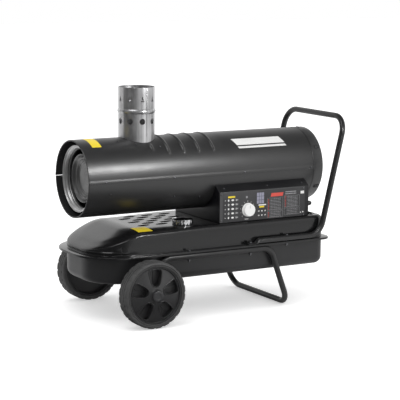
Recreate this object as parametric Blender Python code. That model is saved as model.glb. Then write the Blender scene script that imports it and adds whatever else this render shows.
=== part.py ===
"""Indirect oil-fired space heater on two wheels, modelled as its separate pieces.

Metres, +Z up. The hot-air outlet faces -X, the fan end and the handle +X, and the
control panel -Y. The origin is on the floor, in the middle of the overall length.
"""
import math

import bmesh
import bpy
from mathutils import Vector

# Clearances and sheet
GAP = 0.0003
BORE_CLEARANCE = 0.0003
PRESS_CLEARANCE = 0.0001
OVERRUN = 0.004
MERGE = 0.000001
SHEET = 0.002
DRUM_SHEET = 0.0015

# Overall
OVERALL_LENGTH = 0.975
FRONT_X = -OVERALL_LENGTH / 2

# Fuel tank and its cover, in plan
FLANGE_LENGTH = 0.918
FLANGE_HALF_WIDTH = 0.188
FLANGE_FRONT_CORNER = 0.152
FLANGE_REAR_CORNER = 0.042
WALL_INSET_FRONT = 0.028
WALL_INSET_SIDE = 0.023
WALL_INSET_REAR = 0.017
WALL_FRONT_CORNER = 0.128
WALL_REAR_CORNER = 0.034
FLANGE_HEIGHT = 0.218
TANK_BOTTOM = 0.129
TANK_FILLET = 0.026
COVER_TOP = 0.300
COVER_SHOULDER = 0.015
NOSE_SLOPE_LENGTH = 0.148
NOSE_FRONT_HEIGHT = 0.014
NOSE_BEND_LENGTH = 0.030
CORNER_STEPS_FRONT = 6
CORNER_STEPS_REAR = 3
FILLET_STEPS = 3

# Vent slots in the cover
SLOT_LENGTH = 0.042
SLOT_WIDTH = 0.007
SLOT_PITCH_X = 0.068
SLOT_PITCH_Y = 0.034
SLOT_FIRST_FROM_FRONT = 0.246
SLOT_FIRST_Y = -0.056
SLOT_ROWS = 6
SLOTS_PER_ROW = 3

# Filler, strainer and cap
FILLER_FROM_FRONT = 0.3745
FILLER_Y = -0.094
NECK_RADIUS = 0.0255
NECK_WALL = 0.002
NECK_FOOT_RADIUS = 0.034
NECK_FOOT_THICKNESS = 0.003
NECK_ABOVE_COVER = 0.004
STRAINER_WALL = 0.001
STRAINER_DEPTH = 0.110
STRAINER_RIM = 0.0012
CAP_RADIUS = 0.035
CAP_HEIGHT = 0.018
CAP_DOME = 0.0035
CAP_WALL = 0.0055
CAP_CEILING = 0.006
CAP_EDGE_CHAMFER = 0.0015
CAP_LIFT_OVER_COVER = 0.0005
SEAL_HOLE_RADIUS = 0.010
SEAL_EDGE_CLEARANCE = 0.001

# Fuel pickup and drain plug
PICKUP_PIPE_RADIUS = 0.004
PICKUP_BULB_RADIUS = 0.011
PICKUP_BULB_HEIGHT = 0.030
PICKUP_BULB_LIFT = 0.003
PICKUP_FOOT_RADIUS = 0.018
PICKUP_FOOT_THICKNESS = 0.003
PICKUP_ABOVE_FLOOR = 0.012
DRAIN_FROM_FRONT = 0.8175
DRAIN_PLUG_RADIUS = 0.007
DRAIN_PLUG_INSET = 0.0005
DRAIN_BOSS_RADIUS = 0.012
DRAIN_BOSS_HEIGHT = 0.009
DRAIN_SOCKET_RADIUS = 0.0035
DRAIN_SOCKET_DEPTH = 0.005

# Drum
DRUM_SETBACK = 0.016
DRUM_LENGTH = 0.898
DRUM_RADIUS = 0.127
DRUM_OVER_COVER = 0.034
COLLAR_LENGTH = 0.040
COLLAR_SLEEVE = 0.015
SEAM_DROP = 0.003
SHELL_STEPS = 18
BEAD_PITCH = 0.056
BEAD_FIRST_FROM_FRONT = 0.2665
BEAD_COUNT = 5
BEAD_WIDTH = 0.012
BEAD_HEIGHT = 0.002
BEAD_LOW_ANGLE = 37.0
SHORT_BEAD_LOW_ANGLE = 44.0
SHORT_BEAD_HIGH_ANGLE = 55.0
FUEL_PASSAGE_RADIUS = 0.009

# Flue
FLUE_FROM_FRONT = 0.2515
FLUE_RADIUS = 0.060
FLUE_WALL = 0.0012
FLUE_RISE = 0.165
FLUE_BEAD_RISE = 0.090
FLUE_BEAD_WIDTH = 0.016
FLUE_BEAD_PROUD = 0.003
FLUE_STEPS = 24
FLUE_HOLE_COUNT = 9
FLUE_HOLE_RADIUS = 0.0098
FLUE_HOLE_RISE = 0.054
FLUE_HOLE_PHASE = -178.0
STUB_WALL = 0.0012
STUB_ABOVE_DRUM = 0.022

# Heat exchanger, combustion chamber and burner
RING_SETBACK = 0.017
RING_LENGTH = 0.500
RING_OUTER = 0.110
RING_INNER = 0.098
RING_WALL = 0.0012
RING_NOSE = 0.005
RING_STEPS = 20
CHAMBER_SETBACK = 0.036
CHAMBER_RADIUS = 0.080
CHAMBER_WALL = 0.002
CHAMBER_SHOULDER = 0.014
CHAMBER_LENGTH = 0.515
DUCT_RADIUS = 0.014
DUCT_FROM_CHAMBER_FRONT = 0.060
DUCT_ANGLES = (-150.0, -30.0, 90.0)
SUPPORT_WIDTH = 0.012
SUPPORT_BAND = 0.0025
SUPPORT_ARM_WIDTH = 0.014
SUPPORT_ARMS = 4
SUPPORT_STEPS = 5
SUPPORT_FRONT_FROM_RING = 0.060
SUPPORT_REAR_FROM_RING = 0.400
BURNER_PLATE_THICKNESS = 0.003
BURNER_TUBE_RADIUS = 0.042
BURNER_TUBE_WALL = 0.0015
BURNER_TUBE_REACH = 0.060
BURNER_THROAT_RADIUS = 0.022
BURNER_BORE_RADIUS = 0.0095
NOZZLE_BODY_RADIUS = 0.008
NOZZLE_TIP_RADIUS = 0.004
NOZZLE_TIP_LENGTH = 0.012
NOZZLE_BODY_LENGTH = 0.030
NOZZLE_COLLAR_RADIUS = 0.013
NOZZLE_COLLAR_THICKNESS = 0.005
NOZZLE_PIPE_RADIUS = 0.005
ELECTRODE_RADIUS = 0.003
ELECTRODE_TIP_RADIUS = 0.001
ELECTRODE_SLEEVE = 0.0055
ELECTRODE_OFFSET = 0.018
ELECTRODE_RISE = 0.014
ELECTRODE_REACH = 0.030
ELECTRODE_BARE = 0.020
ELECTRODE_TAIL = 0.022
PHOTOCELL_RADIUS = 0.006
PHOTOCELL_FLANGE = 0.009
PHOTOCELL_DROP = 0.030
PHOTOCELL_TAIL = 0.018

# Motor, pump and fan
MOTOR_RADIUS = 0.046
MOTOR_LENGTH = 0.105
MOTOR_WALL = 0.0025
MOTOR_END_WALL = 0.005
MOTOR_STEPS = 12
STATOR_INNER = 0.030
STATOR_LENGTH = 0.060
ROTOR_RADIUS = 0.0292
ROTOR_LENGTH = 0.062
SHAFT_RADIUS = 0.004
BRACKET_LENGTH = 0.050
BRACKET_SADDLE = 0.003
BRACKET_LEG = 0.012
BRACKET_SPAN_ANGLE = 52.0
PUMP_RADIUS = 0.034
PUMP_DEPTH = 0.022
PUMP_WALL = 0.004
PUMP_CAVITY_RADIUS = 0.024
PUMP_COVER_THICKNESS = 0.005
PUMP_ROTOR_THICKNESS = 0.0165
FAN_RADIUS = 0.112
FAN_HUB_RADIUS = 0.024
FAN_HUB_LENGTH = 0.030
FAN_BLADES = 5
FAN_BLADE_THICKNESS = 0.002
FAN_BLADE_HALF_SPAN = 30.0
FAN_BLADE_DEPTH = 0.026
FAN_ROOT_SHARE = 0.75
FAN_TIP_FLATTENING_SHARE = 0.35
FAN_FROM_MOTOR = 0.010
FAN_FROM_GUARD = 0.0307
BLADE_STEPS = 3
GUARD_WIRE = 0.003
GUARD_DEPTH = 0.003
GUARD_RINGS = 4
GUARD_SPOKES = 8
GUARD_CELLS = 2
GUARD_HUB_RADIUS = 0.018
GUARD_BAND = 0.004
GUARD_CLEARANCE = 0.0008
GUARD_SETBACK = 0.005

# Fuel hose
HOSE_RADIUS = 0.005
HOSE_BORE = 0.003

# Control box and panel
BOX_REAR_SETBACK = 0.0745
BOX_LENGTH = 0.356
BOX_HALF_WIDTH = 0.150
BOX_SIDE_HEIGHT = 0.1037
BOX_CRADLE_ANGLE = 16.4
BOX_LIP = 0.010
CRADLE_STEPS = 14
PANEL_LENGTH = 0.339
PANEL_LIFT = 0.0012
PANEL_THICKNESS = 0.002
KNOB_FROM_PANEL_FRONT = 0.109
KNOB_OVER_FLOOR = 0.0391
KNOB_RADIUS = 0.023
KNOB_DEPTH = 0.016
KNOB_SKIRT = 0.003
KNOB_TOP_RADIUS = 0.021
KNOB_EDGE = 0.002
SPINDLE_RADIUS = 0.003
THERMOSTAT_RADIUS = 0.019
THERMOSTAT_DEPTH = 0.026
THERMOSTAT_BORE_DEPTH = 0.012
GLAND_FROM_SIDE = 0.025
GLAND_OVER_FLOOR = 0.0377
GLAND_RADIUS = 0.008
GLAND_HEX_RADIUS = 0.0105
GLAND_HEX_LENGTH = 0.008
GLAND_NOSE_LENGTH = 0.018
GLAND_INNER_LENGTH = 0.008
GLAND_BORE_RADIUS = 0.0045
BOARD_LENGTH = 0.120
BOARD_WIDTH = 0.070
BOARD_THICKNESS = 0.0016
BOARD_FOOT = 0.008
BOARD_FOOT_THICKNESS = 0.004
BOARD_FROM_BOX_FRONT = 0.205
BOARD_Y = -0.060
TRANSFORMER_LENGTH = 0.070
TRANSFORMER_WIDTH = 0.050
TRANSFORMER_HEIGHT = 0.026
TRANSFORMER_BEVEL = 0.003
TRANSFORMER_FROM_BOX_FRONT = 0.210
TRANSFORMER_Y = 0.060

# Wheels and axle
WHEEL_RADIUS = 0.109
WHEEL_OUTER_Y = 0.262
WHEEL_WIDTH = 0.056
WHEEL_STEPS = 24
TYRE_DEPTH = 0.0152
TYRE_SHOULDER = 0.006
RIM_WALL = 0.0055
RIM_INSET = 0.004
WEB_INSET = 0.009
WEB_RISE = 0.010
WEB_THICKNESS = 0.022
HUB_RADIUS = 0.021
HUB_PROUD = 0.005
POCKET_COUNT = 5
POCKET_DEPTH = 0.018
POCKET_INNER_RADIUS = 0.030
POCKET_MIDDLE_RADIUS = 0.058
POCKET_OUTER_RADIUS = 0.0845
POCKET_INNER_HALF = 0.010
POCKET_MIDDLE_HALF = 0.0205
POCKET_OUTER_HALF = 0.0235
POCKET_CORNER = 0.009
POCKET_CORNER_STEPS = 1
AXLE_RADIUS = 0.006
AXLE_FROM_FRONT = 0.187
HUB_CAP_RADIUS = 0.0185
HUB_CAP_WALL = 0.0015
HUB_CAP_DEPTH = 0.009

# Tubes of the leg frame and the handle
TUBE_RADIUS = 0.010
TUBE_Y = 0.180
TUBE_BEND = 0.045
BEND_STEPS = 4
LEG_FRONT_BEND_FROM_FRONT = 0.2625
LEG_REAR_BEND_FROM_FRONT = 0.6675
LEG_FOOT_FROM_FRONT = 0.741
AXLE_END_REACH = 0.013
HANDLE_START_FROM_FRONT = 0.576
HANDLE_LOW_BEND_FROM_FRONT = 0.8685
HANDLE_HEIGHT = 0.636
HANDLE_BEND = 0.058
HANDLE_TONGUE = 0.030
HANDLE_TONGUE_THICKNESS = 0.006
HANDLE_TONGUE_SPREAD_SHARE = 1.25

# Bolts through the flange
BOLT_RADIUS = 0.003
BOLT_HEAD_RADIUS = 0.0056
BOLT_HEAD_HEIGHT = 0.0035
BOLT_TAIL = 0.004
NUT_RADIUS = 0.0058
NUT_HEIGHT = 0.005
BOLT_FRONT_FROM_FRONT = 0.3515
BOLT_MIDDLE_FROM_FRONT = 0.5870
BOLT_REAR_FROM_FRONT = 0.7315

# Places that follow from the sizes above
FLANGE_REAR_X = FRONT_X + FLANGE_LENGTH
WALL_HALF_WIDTH = FLANGE_HALF_WIDTH - WALL_INSET_SIDE
LID_BOTTOM = FLANGE_HEIGHT + SHEET + GAP
LID_TOP = LID_BOTTOM + SHEET
COVER_FLANGE_BOTTOM = LID_TOP + GAP
FLANGE_TOP = COVER_FLANGE_BOTTOM + SHEET
DRUM_FRONT_X = FRONT_X + DRUM_SETBACK
DRUM_REAR_X = DRUM_FRONT_X + DRUM_LENGTH
COLLAR_X = DRUM_REAR_X - COLLAR_LENGTH
DRUM_AXIS_HEIGHT = COVER_TOP + DRUM_OVER_COVER + DRUM_RADIUS
DRUM_TOP = DRUM_AXIS_HEIGHT + DRUM_RADIUS
FLUE_TOP = DRUM_TOP + FLUE_RISE
FLUE_BEAD_HEIGHT = DRUM_TOP + FLUE_BEAD_RISE
FLUE_HOLE_HEIGHT = DRUM_TOP + FLUE_HOLE_RISE
FLUE_X = FRONT_X + FLUE_FROM_FRONT
RING_FRONT_X = DRUM_FRONT_X + RING_SETBACK
CHAMBER_FRONT_X = DRUM_FRONT_X + CHAMBER_SETBACK
CHAMBER_REAR_X = CHAMBER_FRONT_X + CHAMBER_LENGTH
BURNER_X = CHAMBER_REAR_X + GAP
BURNER_REAR_X = BURNER_X + BURNER_PLATE_THICKNESS
GUARD_X = DRUM_REAR_X - GUARD_SETBACK - GUARD_DEPTH
FAN_X = GUARD_X - FAN_FROM_GUARD - FAN_HUB_LENGTH
MOTOR_REAR_X = FAN_X - FAN_FROM_MOTOR
MOTOR_X = MOTOR_REAR_X - MOTOR_LENGTH
PUMP_REAR_X = MOTOR_X - GAP
PUMP_X = PUMP_REAR_X - PUMP_DEPTH
PUMP_COVER_X = PUMP_X - GAP - PUMP_COVER_THICKNESS
BOX_REAR_X = DRUM_REAR_X - BOX_REAR_SETBACK
BOX_FRONT_X = BOX_REAR_X - BOX_LENGTH
BOX_FLOOR = COVER_TOP + GAP
BOX_SHOULDER_HEIGHT = BOX_FLOOR + BOX_SIDE_HEIGHT
PANEL_BOTTOM = BOX_FLOOR + PANEL_LIFT
KNOB_HEIGHT = BOX_FLOOR + KNOB_OVER_FLOOR
GLAND_HEIGHT = BOX_FLOOR + GLAND_OVER_FLOOR
GLAND_Y = GLAND_FROM_SIDE - BOX_HALF_WIDTH
PANEL_Y = -BOX_HALF_WIDTH - GAP
KNOB_X = BOX_FRONT_X + KNOB_FROM_PANEL_FRONT
FILLER_X = FRONT_X + FILLER_FROM_FRONT
PICKUP_X = PUMP_X + PUMP_DEPTH / 2
DRAIN_X = FRONT_X + DRAIN_FROM_FRONT
PICKUP_TOP = BOX_FLOOR + SHEET + PICKUP_ABOVE_FLOOR
AXLE_X = FRONT_X + AXLE_FROM_FRONT
RAIL_HEIGHT = FLANGE_HEIGHT - GAP - TUBE_RADIUS
HANDLE_LOW_HEIGHT = FLANGE_TOP + GAP + TUBE_RADIUS
HANDLE_TOP_X = OVERALL_LENGTH / 2 - TUBE_RADIUS
BOLT_STATIONS = {
    "front": FRONT_X + BOLT_FRONT_FROM_FRONT,
    "middle": FRONT_X + BOLT_MIDDLE_FROM_FRONT,
    "rear": FRONT_X + BOLT_REAR_FROM_FRONT,
}

AXES = {"X": (0.0, math.pi / 2, 0.0), "Y": (-math.pi / 2, 0.0, 0.0), "Z": (0.0, 0.0, 0.0)}
CIRCLE_STEPS = 8
HEX_STEPS = 6
MIDDLE_STEPS = 12
FINE_STEPS = 16
SHARP_ANGLE = 35.0


# Materials
def material(name, colour, roughness, metallic=0.0):
    found = bpy.data.materials.get(name)
    if found:
        return found
    made = bpy.data.materials.new(name)
    made.use_nodes = True
    shader = made.node_tree.nodes["Principled BSDF"]
    shader.inputs["Base Color"].default_value = (*colour, 1.0)
    shader.inputs["Roughness"].default_value = roughness
    shader.inputs["Metallic"].default_value = metallic
    return made


def black_paint():
    return material("black_paint", (0.018, 0.018, 0.020), 0.28)


def tube_paint():
    return material("tube_paint", (0.05, 0.05, 0.052), 0.40)


def galvanised():
    return material("galvanised", (0.62, 0.63, 0.64), 0.35, 1.0)


def heat_steel():
    return material("heat_steel", (0.66, 0.66, 0.65), 0.30, 1.0)


def zinc():
    return material("zinc", (0.70, 0.70, 0.72), 0.30, 1.0)


def chrome():
    return material("chrome", (0.80, 0.80, 0.82), 0.12, 1.0)


def rubber():
    return material("rubber", (0.03, 0.03, 0.03), 0.75)


def black_plastic():
    return material("black_plastic", (0.05, 0.05, 0.055), 0.55)


def white_plastic():
    return material("white_plastic", (0.85, 0.85, 0.85), 0.40)


def cast_alloy():
    return material("cast_alloy", (0.50, 0.50, 0.52), 0.50, 0.9)


def motor_paint():
    return material("motor_paint", (0.16, 0.17, 0.18), 0.50)


def brass():
    return material("brass", (0.70, 0.52, 0.22), 0.35, 1.0)


def ceramic():
    return material("ceramic", (0.82, 0.80, 0.76), 0.45)


def board_green():
    return material("board_green", (0.05, 0.22, 0.10), 0.50)


# Builders of meshes and objects
def finish(name, bm, finish_material):
    bmesh.ops.remove_doubles(bm, verts=bm.verts, dist=MERGE)
    bmesh.ops.recalc_face_normals(bm, faces=bm.faces)
    mesh = bpy.data.meshes.new(name)
    bm.to_mesh(mesh)
    bm.free()
    mesh.shade_smooth()
    mesh.set_sharp_from_angle(angle=math.radians(SHARP_ANGLE))
    mesh.materials.append(finish_material)
    made = bpy.data.objects.new(name, mesh)
    bpy.context.scene.collection.objects.link(made)
    return made


def turned(name, profile, steps, finish_material, place, axis="Z"):
    """Revolve (radius, height) points; a profile that starts on the axis stays open there."""
    bm = bmesh.new()
    verts = [bm.verts.new((radius, 0.0, height)) for radius, height in profile]
    edges = [bm.edges.new(pair) for pair in zip(verts, verts[1:])]
    if profile[0][0] > 0.0:
        edges.append(bm.edges.new((verts[-1], verts[0])))
    bmesh.ops.spin(bm, geom=verts + edges, cent=(0, 0, 0), axis=(0, 0, 1),
                   angle=2 * math.pi, steps=steps, use_merge=True)
    made = finish(name, bm, finish_material)
    made.rotation_euler = AXES[axis]
    made.location = place
    return made


def extruded(name, outline, direction, finish_material):
    """Extrude a closed outline of 3D points along a vector."""
    bm = bmesh.new()
    face = bm.faces.new([bm.verts.new(point) for point in outline])
    moved = bmesh.ops.extrude_face_region(bm, geom=[face], use_keep_orig=True)
    tips = [item for item in moved["geom"] if isinstance(item, bmesh.types.BMVert)]
    bmesh.ops.translate(bm, verts=tips, vec=direction)
    return finish(name, bm, finish_material)


def lofted_mesh(loops, endless=False):
    """Skin loops of equal length; cap the first and the last, or join them if endless."""
    bm = bmesh.new()
    rings = [[bm.verts.new(point) for point in loop] for loop in loops]
    followers = rings[1:] + rings[:1] if endless else rings[1:]
    for ring, following in zip(rings, followers):
        for index in range(len(ring)):
            after = (index + 1) % len(ring)
            bm.faces.new((ring[index], ring[after], following[after], following[index]))
    if endless:
        bmesh.ops.remove_doubles(bm, verts=bm.verts, dist=MERGE)
    else:
        bm.faces.new(rings[0])
        bm.faces.new(rings[-1])
    return bm


def block(name, low, high, finish_material):
    outline = [(low[0], low[1], low[2]), (high[0], low[1], low[2]),
               (high[0], high[1], low[2]), (low[0], high[1], low[2])]
    return extruded(name, outline, (0, 0, high[2] - low[2]), finish_material)


def cutter(made):
    made.hide_render = True
    made.display_type = "WIRE"
    return made


def boolean(target, tool, operation="DIFFERENCE"):
    step = target.modifiers.new(tool.name, "BOOLEAN")
    step.operation = operation
    step.solver = "EXACT"
    step.object = tool
    return step


def arc(centre, radius, start, end, steps):
    """Points (u, v) on an arc, angles in degrees."""
    angles = [math.radians(start + (end - start) * step / steps) for step in range(steps + 1)]
    return [(centre[0] + radius * math.cos(a), centre[1] + radius * math.sin(a)) for a in angles]


def rounded_path(corners, radius, steps=BEND_STEPS):
    """Replace each inner corner of a run of straight stretches with an arc."""
    points = [Vector(corners[0])]
    for before, corner, after in zip(corners, corners[1:], corners[2:]):
        corner = Vector(corner)
        back = (Vector(before) - corner).normalized()
        ahead = (Vector(after) - corner).normalized()
        half = back.angle(ahead) / 2
        reach = radius / math.tan(half)
        middle = corner + (back + ahead).normalized() * (radius / math.sin(half))
        start = (corner + back * reach - middle).normalized()
        end = (corner + ahead * reach - middle).normalized()
        points += [middle + start.slerp(end, step / steps) * radius for step in range(steps + 1)]
    points.append(Vector(corners[-1]))
    return points


def tube(name, points, radius, finish_material, resolution=2):
    """A capped round tube along points, made by a bevelled curve and kept as a mesh."""
    curve = bpy.data.curves.new(name + "_route", "CURVE")
    curve.dimensions = "3D"
    curve.bevel_depth = radius
    curve.bevel_resolution = resolution
    curve.use_fill_caps = True
    spline = curve.splines.new("POLY")
    spline.points.add(len(points) - 1)
    for slot, point in zip(spline.points, points):
        slot.co = (*point, 1.0)
    route = bpy.data.objects.new(name + "_route", curve)
    bpy.context.scene.collection.objects.link(route)
    seen = route.evaluated_get(bpy.context.evaluated_depsgraph_get())
    bm = bmesh.new()
    bm.from_mesh(seen.to_mesh())
    seen.to_mesh_clear()
    bpy.data.objects.remove(route)
    return finish(name, bm, finish_material)


# Fuel tank, lid and cover
def plan(half_width, front_x, rear_x, front_corner, rear_corner):
    """The rounded plan outline shared by the tank, its lid and its cover."""
    front_u = front_x + front_corner
    rear_u = rear_x - rear_corner
    outline = arc((rear_u, half_width - rear_corner), rear_corner, 0, 90, CORNER_STEPS_REAR)
    outline += arc((front_u, half_width - front_corner), front_corner, 90, 180, CORNER_STEPS_FRONT)
    outline += arc((front_u, front_corner - half_width), front_corner, 180, 270, CORNER_STEPS_FRONT)
    outline += arc((rear_u, rear_corner - half_width), rear_corner, 270, 360, CORNER_STEPS_REAR)
    return outline


def flange_plan(inset=0.0):
    return plan(FLANGE_HALF_WIDTH - inset, FRONT_X + inset, FLANGE_REAR_X - inset,
                FLANGE_FRONT_CORNER - inset, FLANGE_REAR_CORNER - inset)


def wall_plan(inset=0.0):
    return plan(WALL_HALF_WIDTH - inset, FRONT_X + WALL_INSET_FRONT + inset,
                FLANGE_REAR_X - WALL_INSET_REAR - inset,
                WALL_FRONT_CORNER - inset, WALL_REAR_CORNER - inset)


def at_height(outline, height):
    return [(x, y, height) for x, y in outline]


def fillet_levels(inset, radius, flat_height, upward):
    """Loops from a flat face out to the wall, round a fillet of the given radius."""
    levels = []
    for step in range(FILLET_STEPS + 1):
        turn = math.radians(90 * step / FILLET_STEPS)
        rise = radius * (1 - math.cos(turn))
        height = flat_height + rise if upward else flat_height - rise
        levels.append(at_height(wall_plan(inset + radius * (1 - math.sin(turn))), height))
    return levels


def drain_ring(radius, height):
    """A circle round the drain, with the plan's points, so that the tank's floor lofts into it."""
    return at_height(plan(radius, DRAIN_X - radius, DRAIN_X + radius, radius, radius), height)


def fuel_tank():
    """Pressed tank, skinned from the drain's mouth out, up the walls, down and into the boss."""
    hidden_edge = SHEET + GAP
    drain = DRAIN_PLUG_RADIUS + BORE_CLEARANCE
    boss_foot = TANK_BOTTOM + SHEET
    boss_top = boss_foot + DRAIN_BOSS_HEIGHT
    outside = fillet_levels(0.0, TANK_FILLET, TANK_BOTTOM, True)
    inside = fillet_levels(SHEET, TANK_FILLET - SHEET, TANK_BOTTOM + SHEET, True)
    loops = [drain_ring(drain, TANK_BOTTOM)] + outside
    loops.append(at_height(wall_plan(), FLANGE_HEIGHT))
    loops.append(at_height(flange_plan(hidden_edge), FLANGE_HEIGHT))
    loops.append(at_height(flange_plan(hidden_edge), FLANGE_HEIGHT + SHEET))
    loops.append(at_height(wall_plan(SHEET), FLANGE_HEIGHT + SHEET))
    loops += reversed(inside)
    loops += [drain_ring(DRAIN_BOSS_RADIUS, boss_foot), drain_ring(DRAIN_BOSS_RADIUS, boss_top),
              drain_ring(drain, boss_top)]
    return finish("fuel_tank_shell", lofted_mesh(loops, endless=True), black_paint())


def tank_lid():
    outline = flange_plan(SHEET + GAP)
    loops = [at_height(outline, LID_BOTTOM), at_height(outline, LID_TOP)]
    return finish("fuel_tank_lid", lofted_mesh(loops), black_paint())


def slope_nose(bm):
    """Lower the front of the cover, down to a set height over the flange at its foremost edge.

    The top sheet is lowered whole and keeps its thickness. The wall under it is shortened.
    """
    bend_x = FRONT_X + WALL_INSET_FRONT + NOSE_SLOPE_LENGTH
    soft = NOSE_BEND_LENGTH / 2
    for cut in (bend_x - soft, bend_x + soft):
        everything = list(bm.verts) + list(bm.edges) + list(bm.faces)
        bmesh.ops.bisect_plane(bm, geom=everything, dist=MERGE, plane_co=(cut, 0, 0),
                               plane_no=(1, 0, 0))
    slope = (COVER_TOP - FLANGE_TOP - NOSE_FRONT_HEIGHT) / NOSE_SLOPE_LENGTH
    under_top = COVER_TOP - SHEET - FLANGE_TOP
    for vert in bm.verts:
        ahead = bend_x + soft - vert.co.x
        if vert.co.z <= FLANGE_TOP + MERGE or ahead <= 0.0:
            continue
        eased = max(0.0, ahead - soft)
        tall_share = min(1.0, (vert.co.z - FLANGE_TOP) / under_top)
        vert.co.z -= slope * eased * tall_share


def tank_cover():
    """Pressed cover over the tank, with a lip that hides the edges of the flanges."""
    inner_top = fillet_levels(SHEET, COVER_SHOULDER - SHEET, COVER_TOP - SHEET, False)
    outer_top = fillet_levels(0.0, COVER_SHOULDER, COVER_TOP, False)
    loops = inner_top
    loops.append(at_height(wall_plan(SHEET), COVER_FLANGE_BOTTOM))
    loops.append(at_height(flange_plan(SHEET), COVER_FLANGE_BOTTOM))
    loops.append(at_height(flange_plan(SHEET), FLANGE_HEIGHT))
    loops.append(at_height(flange_plan(), FLANGE_HEIGHT))
    loops.append(at_height(flange_plan(), FLANGE_TOP))
    loops.append(at_height(wall_plan(), FLANGE_TOP))
    loops += reversed(outer_top)
    bm = lofted_mesh(loops)
    slope_nose(bm)
    return finish("tank_cover", bm, black_paint())


def slot_cutters():
    """Staggered vent slots with pointed ends, as one cutter of separate prisms."""
    bm = bmesh.new()
    half, tip, side = SLOT_LENGTH / 2, SLOT_WIDTH / 2, SLOT_WIDTH / 2
    shape = [(-half, 0.0), (tip - half, -side), (half - tip, -side), (half, 0.0),
             (half - tip, side), (tip - half, side)]
    for row in range(SLOT_ROWS):
        y = SLOT_FIRST_Y + SLOT_PITCH_Y * row
        stagger = SLOT_PITCH_X / 2 * (row % 2)
        for place in range(SLOTS_PER_ROW):
            x = FRONT_X + SLOT_FIRST_FROM_FRONT + stagger + SLOT_PITCH_X * place
            low = COVER_TOP - SHEET - OVERRUN
            face = bm.faces.new([bm.verts.new((x + u, y + v, low)) for u, v in shape])
            moved = bmesh.ops.extrude_face_region(bm, geom=[face], use_keep_orig=True)
            tips = [item for item in moved["geom"] if isinstance(item, bmesh.types.BMVert)]
            bmesh.ops.translate(bm, verts=tips, vec=(0, 0, SHEET + 2 * OVERRUN))
    return cutter(finish("cut_vent_slots", bm, black_paint()))


def bore(name, radius, low, high, x, y, steps=CIRCLE_STEPS):
    profile = [(0.0, low), (radius, low), (radius, high), (0.0, high)]
    return cutter(turned(name, profile, steps, zinc(), (x, y, 0.0)))


def tank_group():
    shell, lid, cover = fuel_tank(), tank_lid(), tank_cover()
    boolean(cover, slot_cutters())
    neck_hole = bore("cut_neck", NECK_RADIUS + BORE_CLEARANCE, COVER_TOP - OVERRUN,
                     COVER_TOP + OVERRUN, FILLER_X, FILLER_Y, MIDDLE_STEPS)
    boolean(cover, neck_hole)
    strainer_hole = bore("cut_strainer", NECK_RADIUS - NECK_WALL + BORE_CLEARANCE, LID_BOTTOM - OVERRUN,
                         LID_TOP + OVERRUN, FILLER_X, FILLER_Y, MIDDLE_STEPS)
    boolean(lid, strainer_hole)
    bulb_hole = bore("cut_pickup_lid", PICKUP_BULB_RADIUS + BORE_CLEARANCE, LID_BOTTOM - OVERRUN,
                     LID_TOP + OVERRUN, PICKUP_X, 0.0)
    boolean(lid, bulb_hole)
    pipe_hole = bore("cut_pickup_cover", PICKUP_PIPE_RADIUS + BORE_CLEARANCE,
                     COVER_TOP - OVERRUN, COVER_TOP + 2 * OVERRUN, PICKUP_X, 0.0)
    boolean(cover, pipe_hole)
    return shell, lid, cover


def filler_group():
    place = (FILLER_X, FILLER_Y, 0.0)
    foot = LID_TOP + GAP
    neck_top = COVER_TOP + NECK_ABOVE_COVER
    inner = NECK_RADIUS - NECK_WALL
    turned("filler_neck", [
        (inner, foot), (NECK_FOOT_RADIUS, foot), (NECK_FOOT_RADIUS, foot + NECK_FOOT_THICKNESS),
        (NECK_RADIUS, foot + NECK_FOOT_THICKNESS), (NECK_RADIUS, neck_top), (inner, neck_top),
    ], MIDDLE_STEPS, zinc(), place)
    rim = neck_top + GAP
    basket = inner - GAP
    bottom = rim - STRAINER_DEPTH
    turned("fuel_strainer", [
        (0.0, bottom), (basket, bottom), (basket, rim), (NECK_RADIUS, rim),
        (NECK_RADIUS, rim + STRAINER_RIM), (basket - STRAINER_WALL, rim + STRAINER_RIM),
        (basket - STRAINER_WALL, bottom + STRAINER_WALL), (0.0, bottom + STRAINER_WALL),
    ], MIDDLE_STEPS, brass(), place)
    fuel_cap(rim + STRAINER_RIM + GAP)


def fuel_cap(seal_bottom):
    """Chromed cap over a rubber seal; both lift off, and the cap turns on the seal."""
    lift = bpy.data.objects.new("fuel_cap_axis", None)
    lift.location = (FILLER_X, FILLER_Y, COVER_TOP)
    bpy.context.scene.collection.objects.link(lift)
    low = CAP_LIFT_OVER_COVER
    high = low + CAP_HEIGHT
    ceiling = high - CAP_CEILING
    inner = CAP_RADIUS - CAP_WALL
    cap = turned("fuel_cap", [
        (0.0, ceiling), (inner, ceiling), (inner, low), (CAP_RADIUS - CAP_EDGE_CHAMFER, low),
        (CAP_RADIUS, low + CAP_EDGE_CHAMFER), (CAP_RADIUS, high - CAP_EDGE_CHAMFER),
        (CAP_RADIUS - CAP_EDGE_CHAMFER, high), (CAP_RADIUS / 2, high + CAP_DOME * 2 / 3),
        (0.0, high + CAP_DOME),
    ], FINE_STEPS, chrome(), (0.0, 0.0, 0.0))
    cap.parent = lift
    floor = seal_bottom - COVER_TOP
    edge = inner - SEAL_EDGE_CLEARANCE
    seal = turned("cap_seal", [
        (SEAL_HOLE_RADIUS, floor), (edge, floor), (edge, ceiling - GAP),
        (SEAL_HOLE_RADIUS, ceiling - GAP),
    ], FINE_STEPS, rubber(), (0.0, 0.0, 0.0))
    seal.parent = lift


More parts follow.
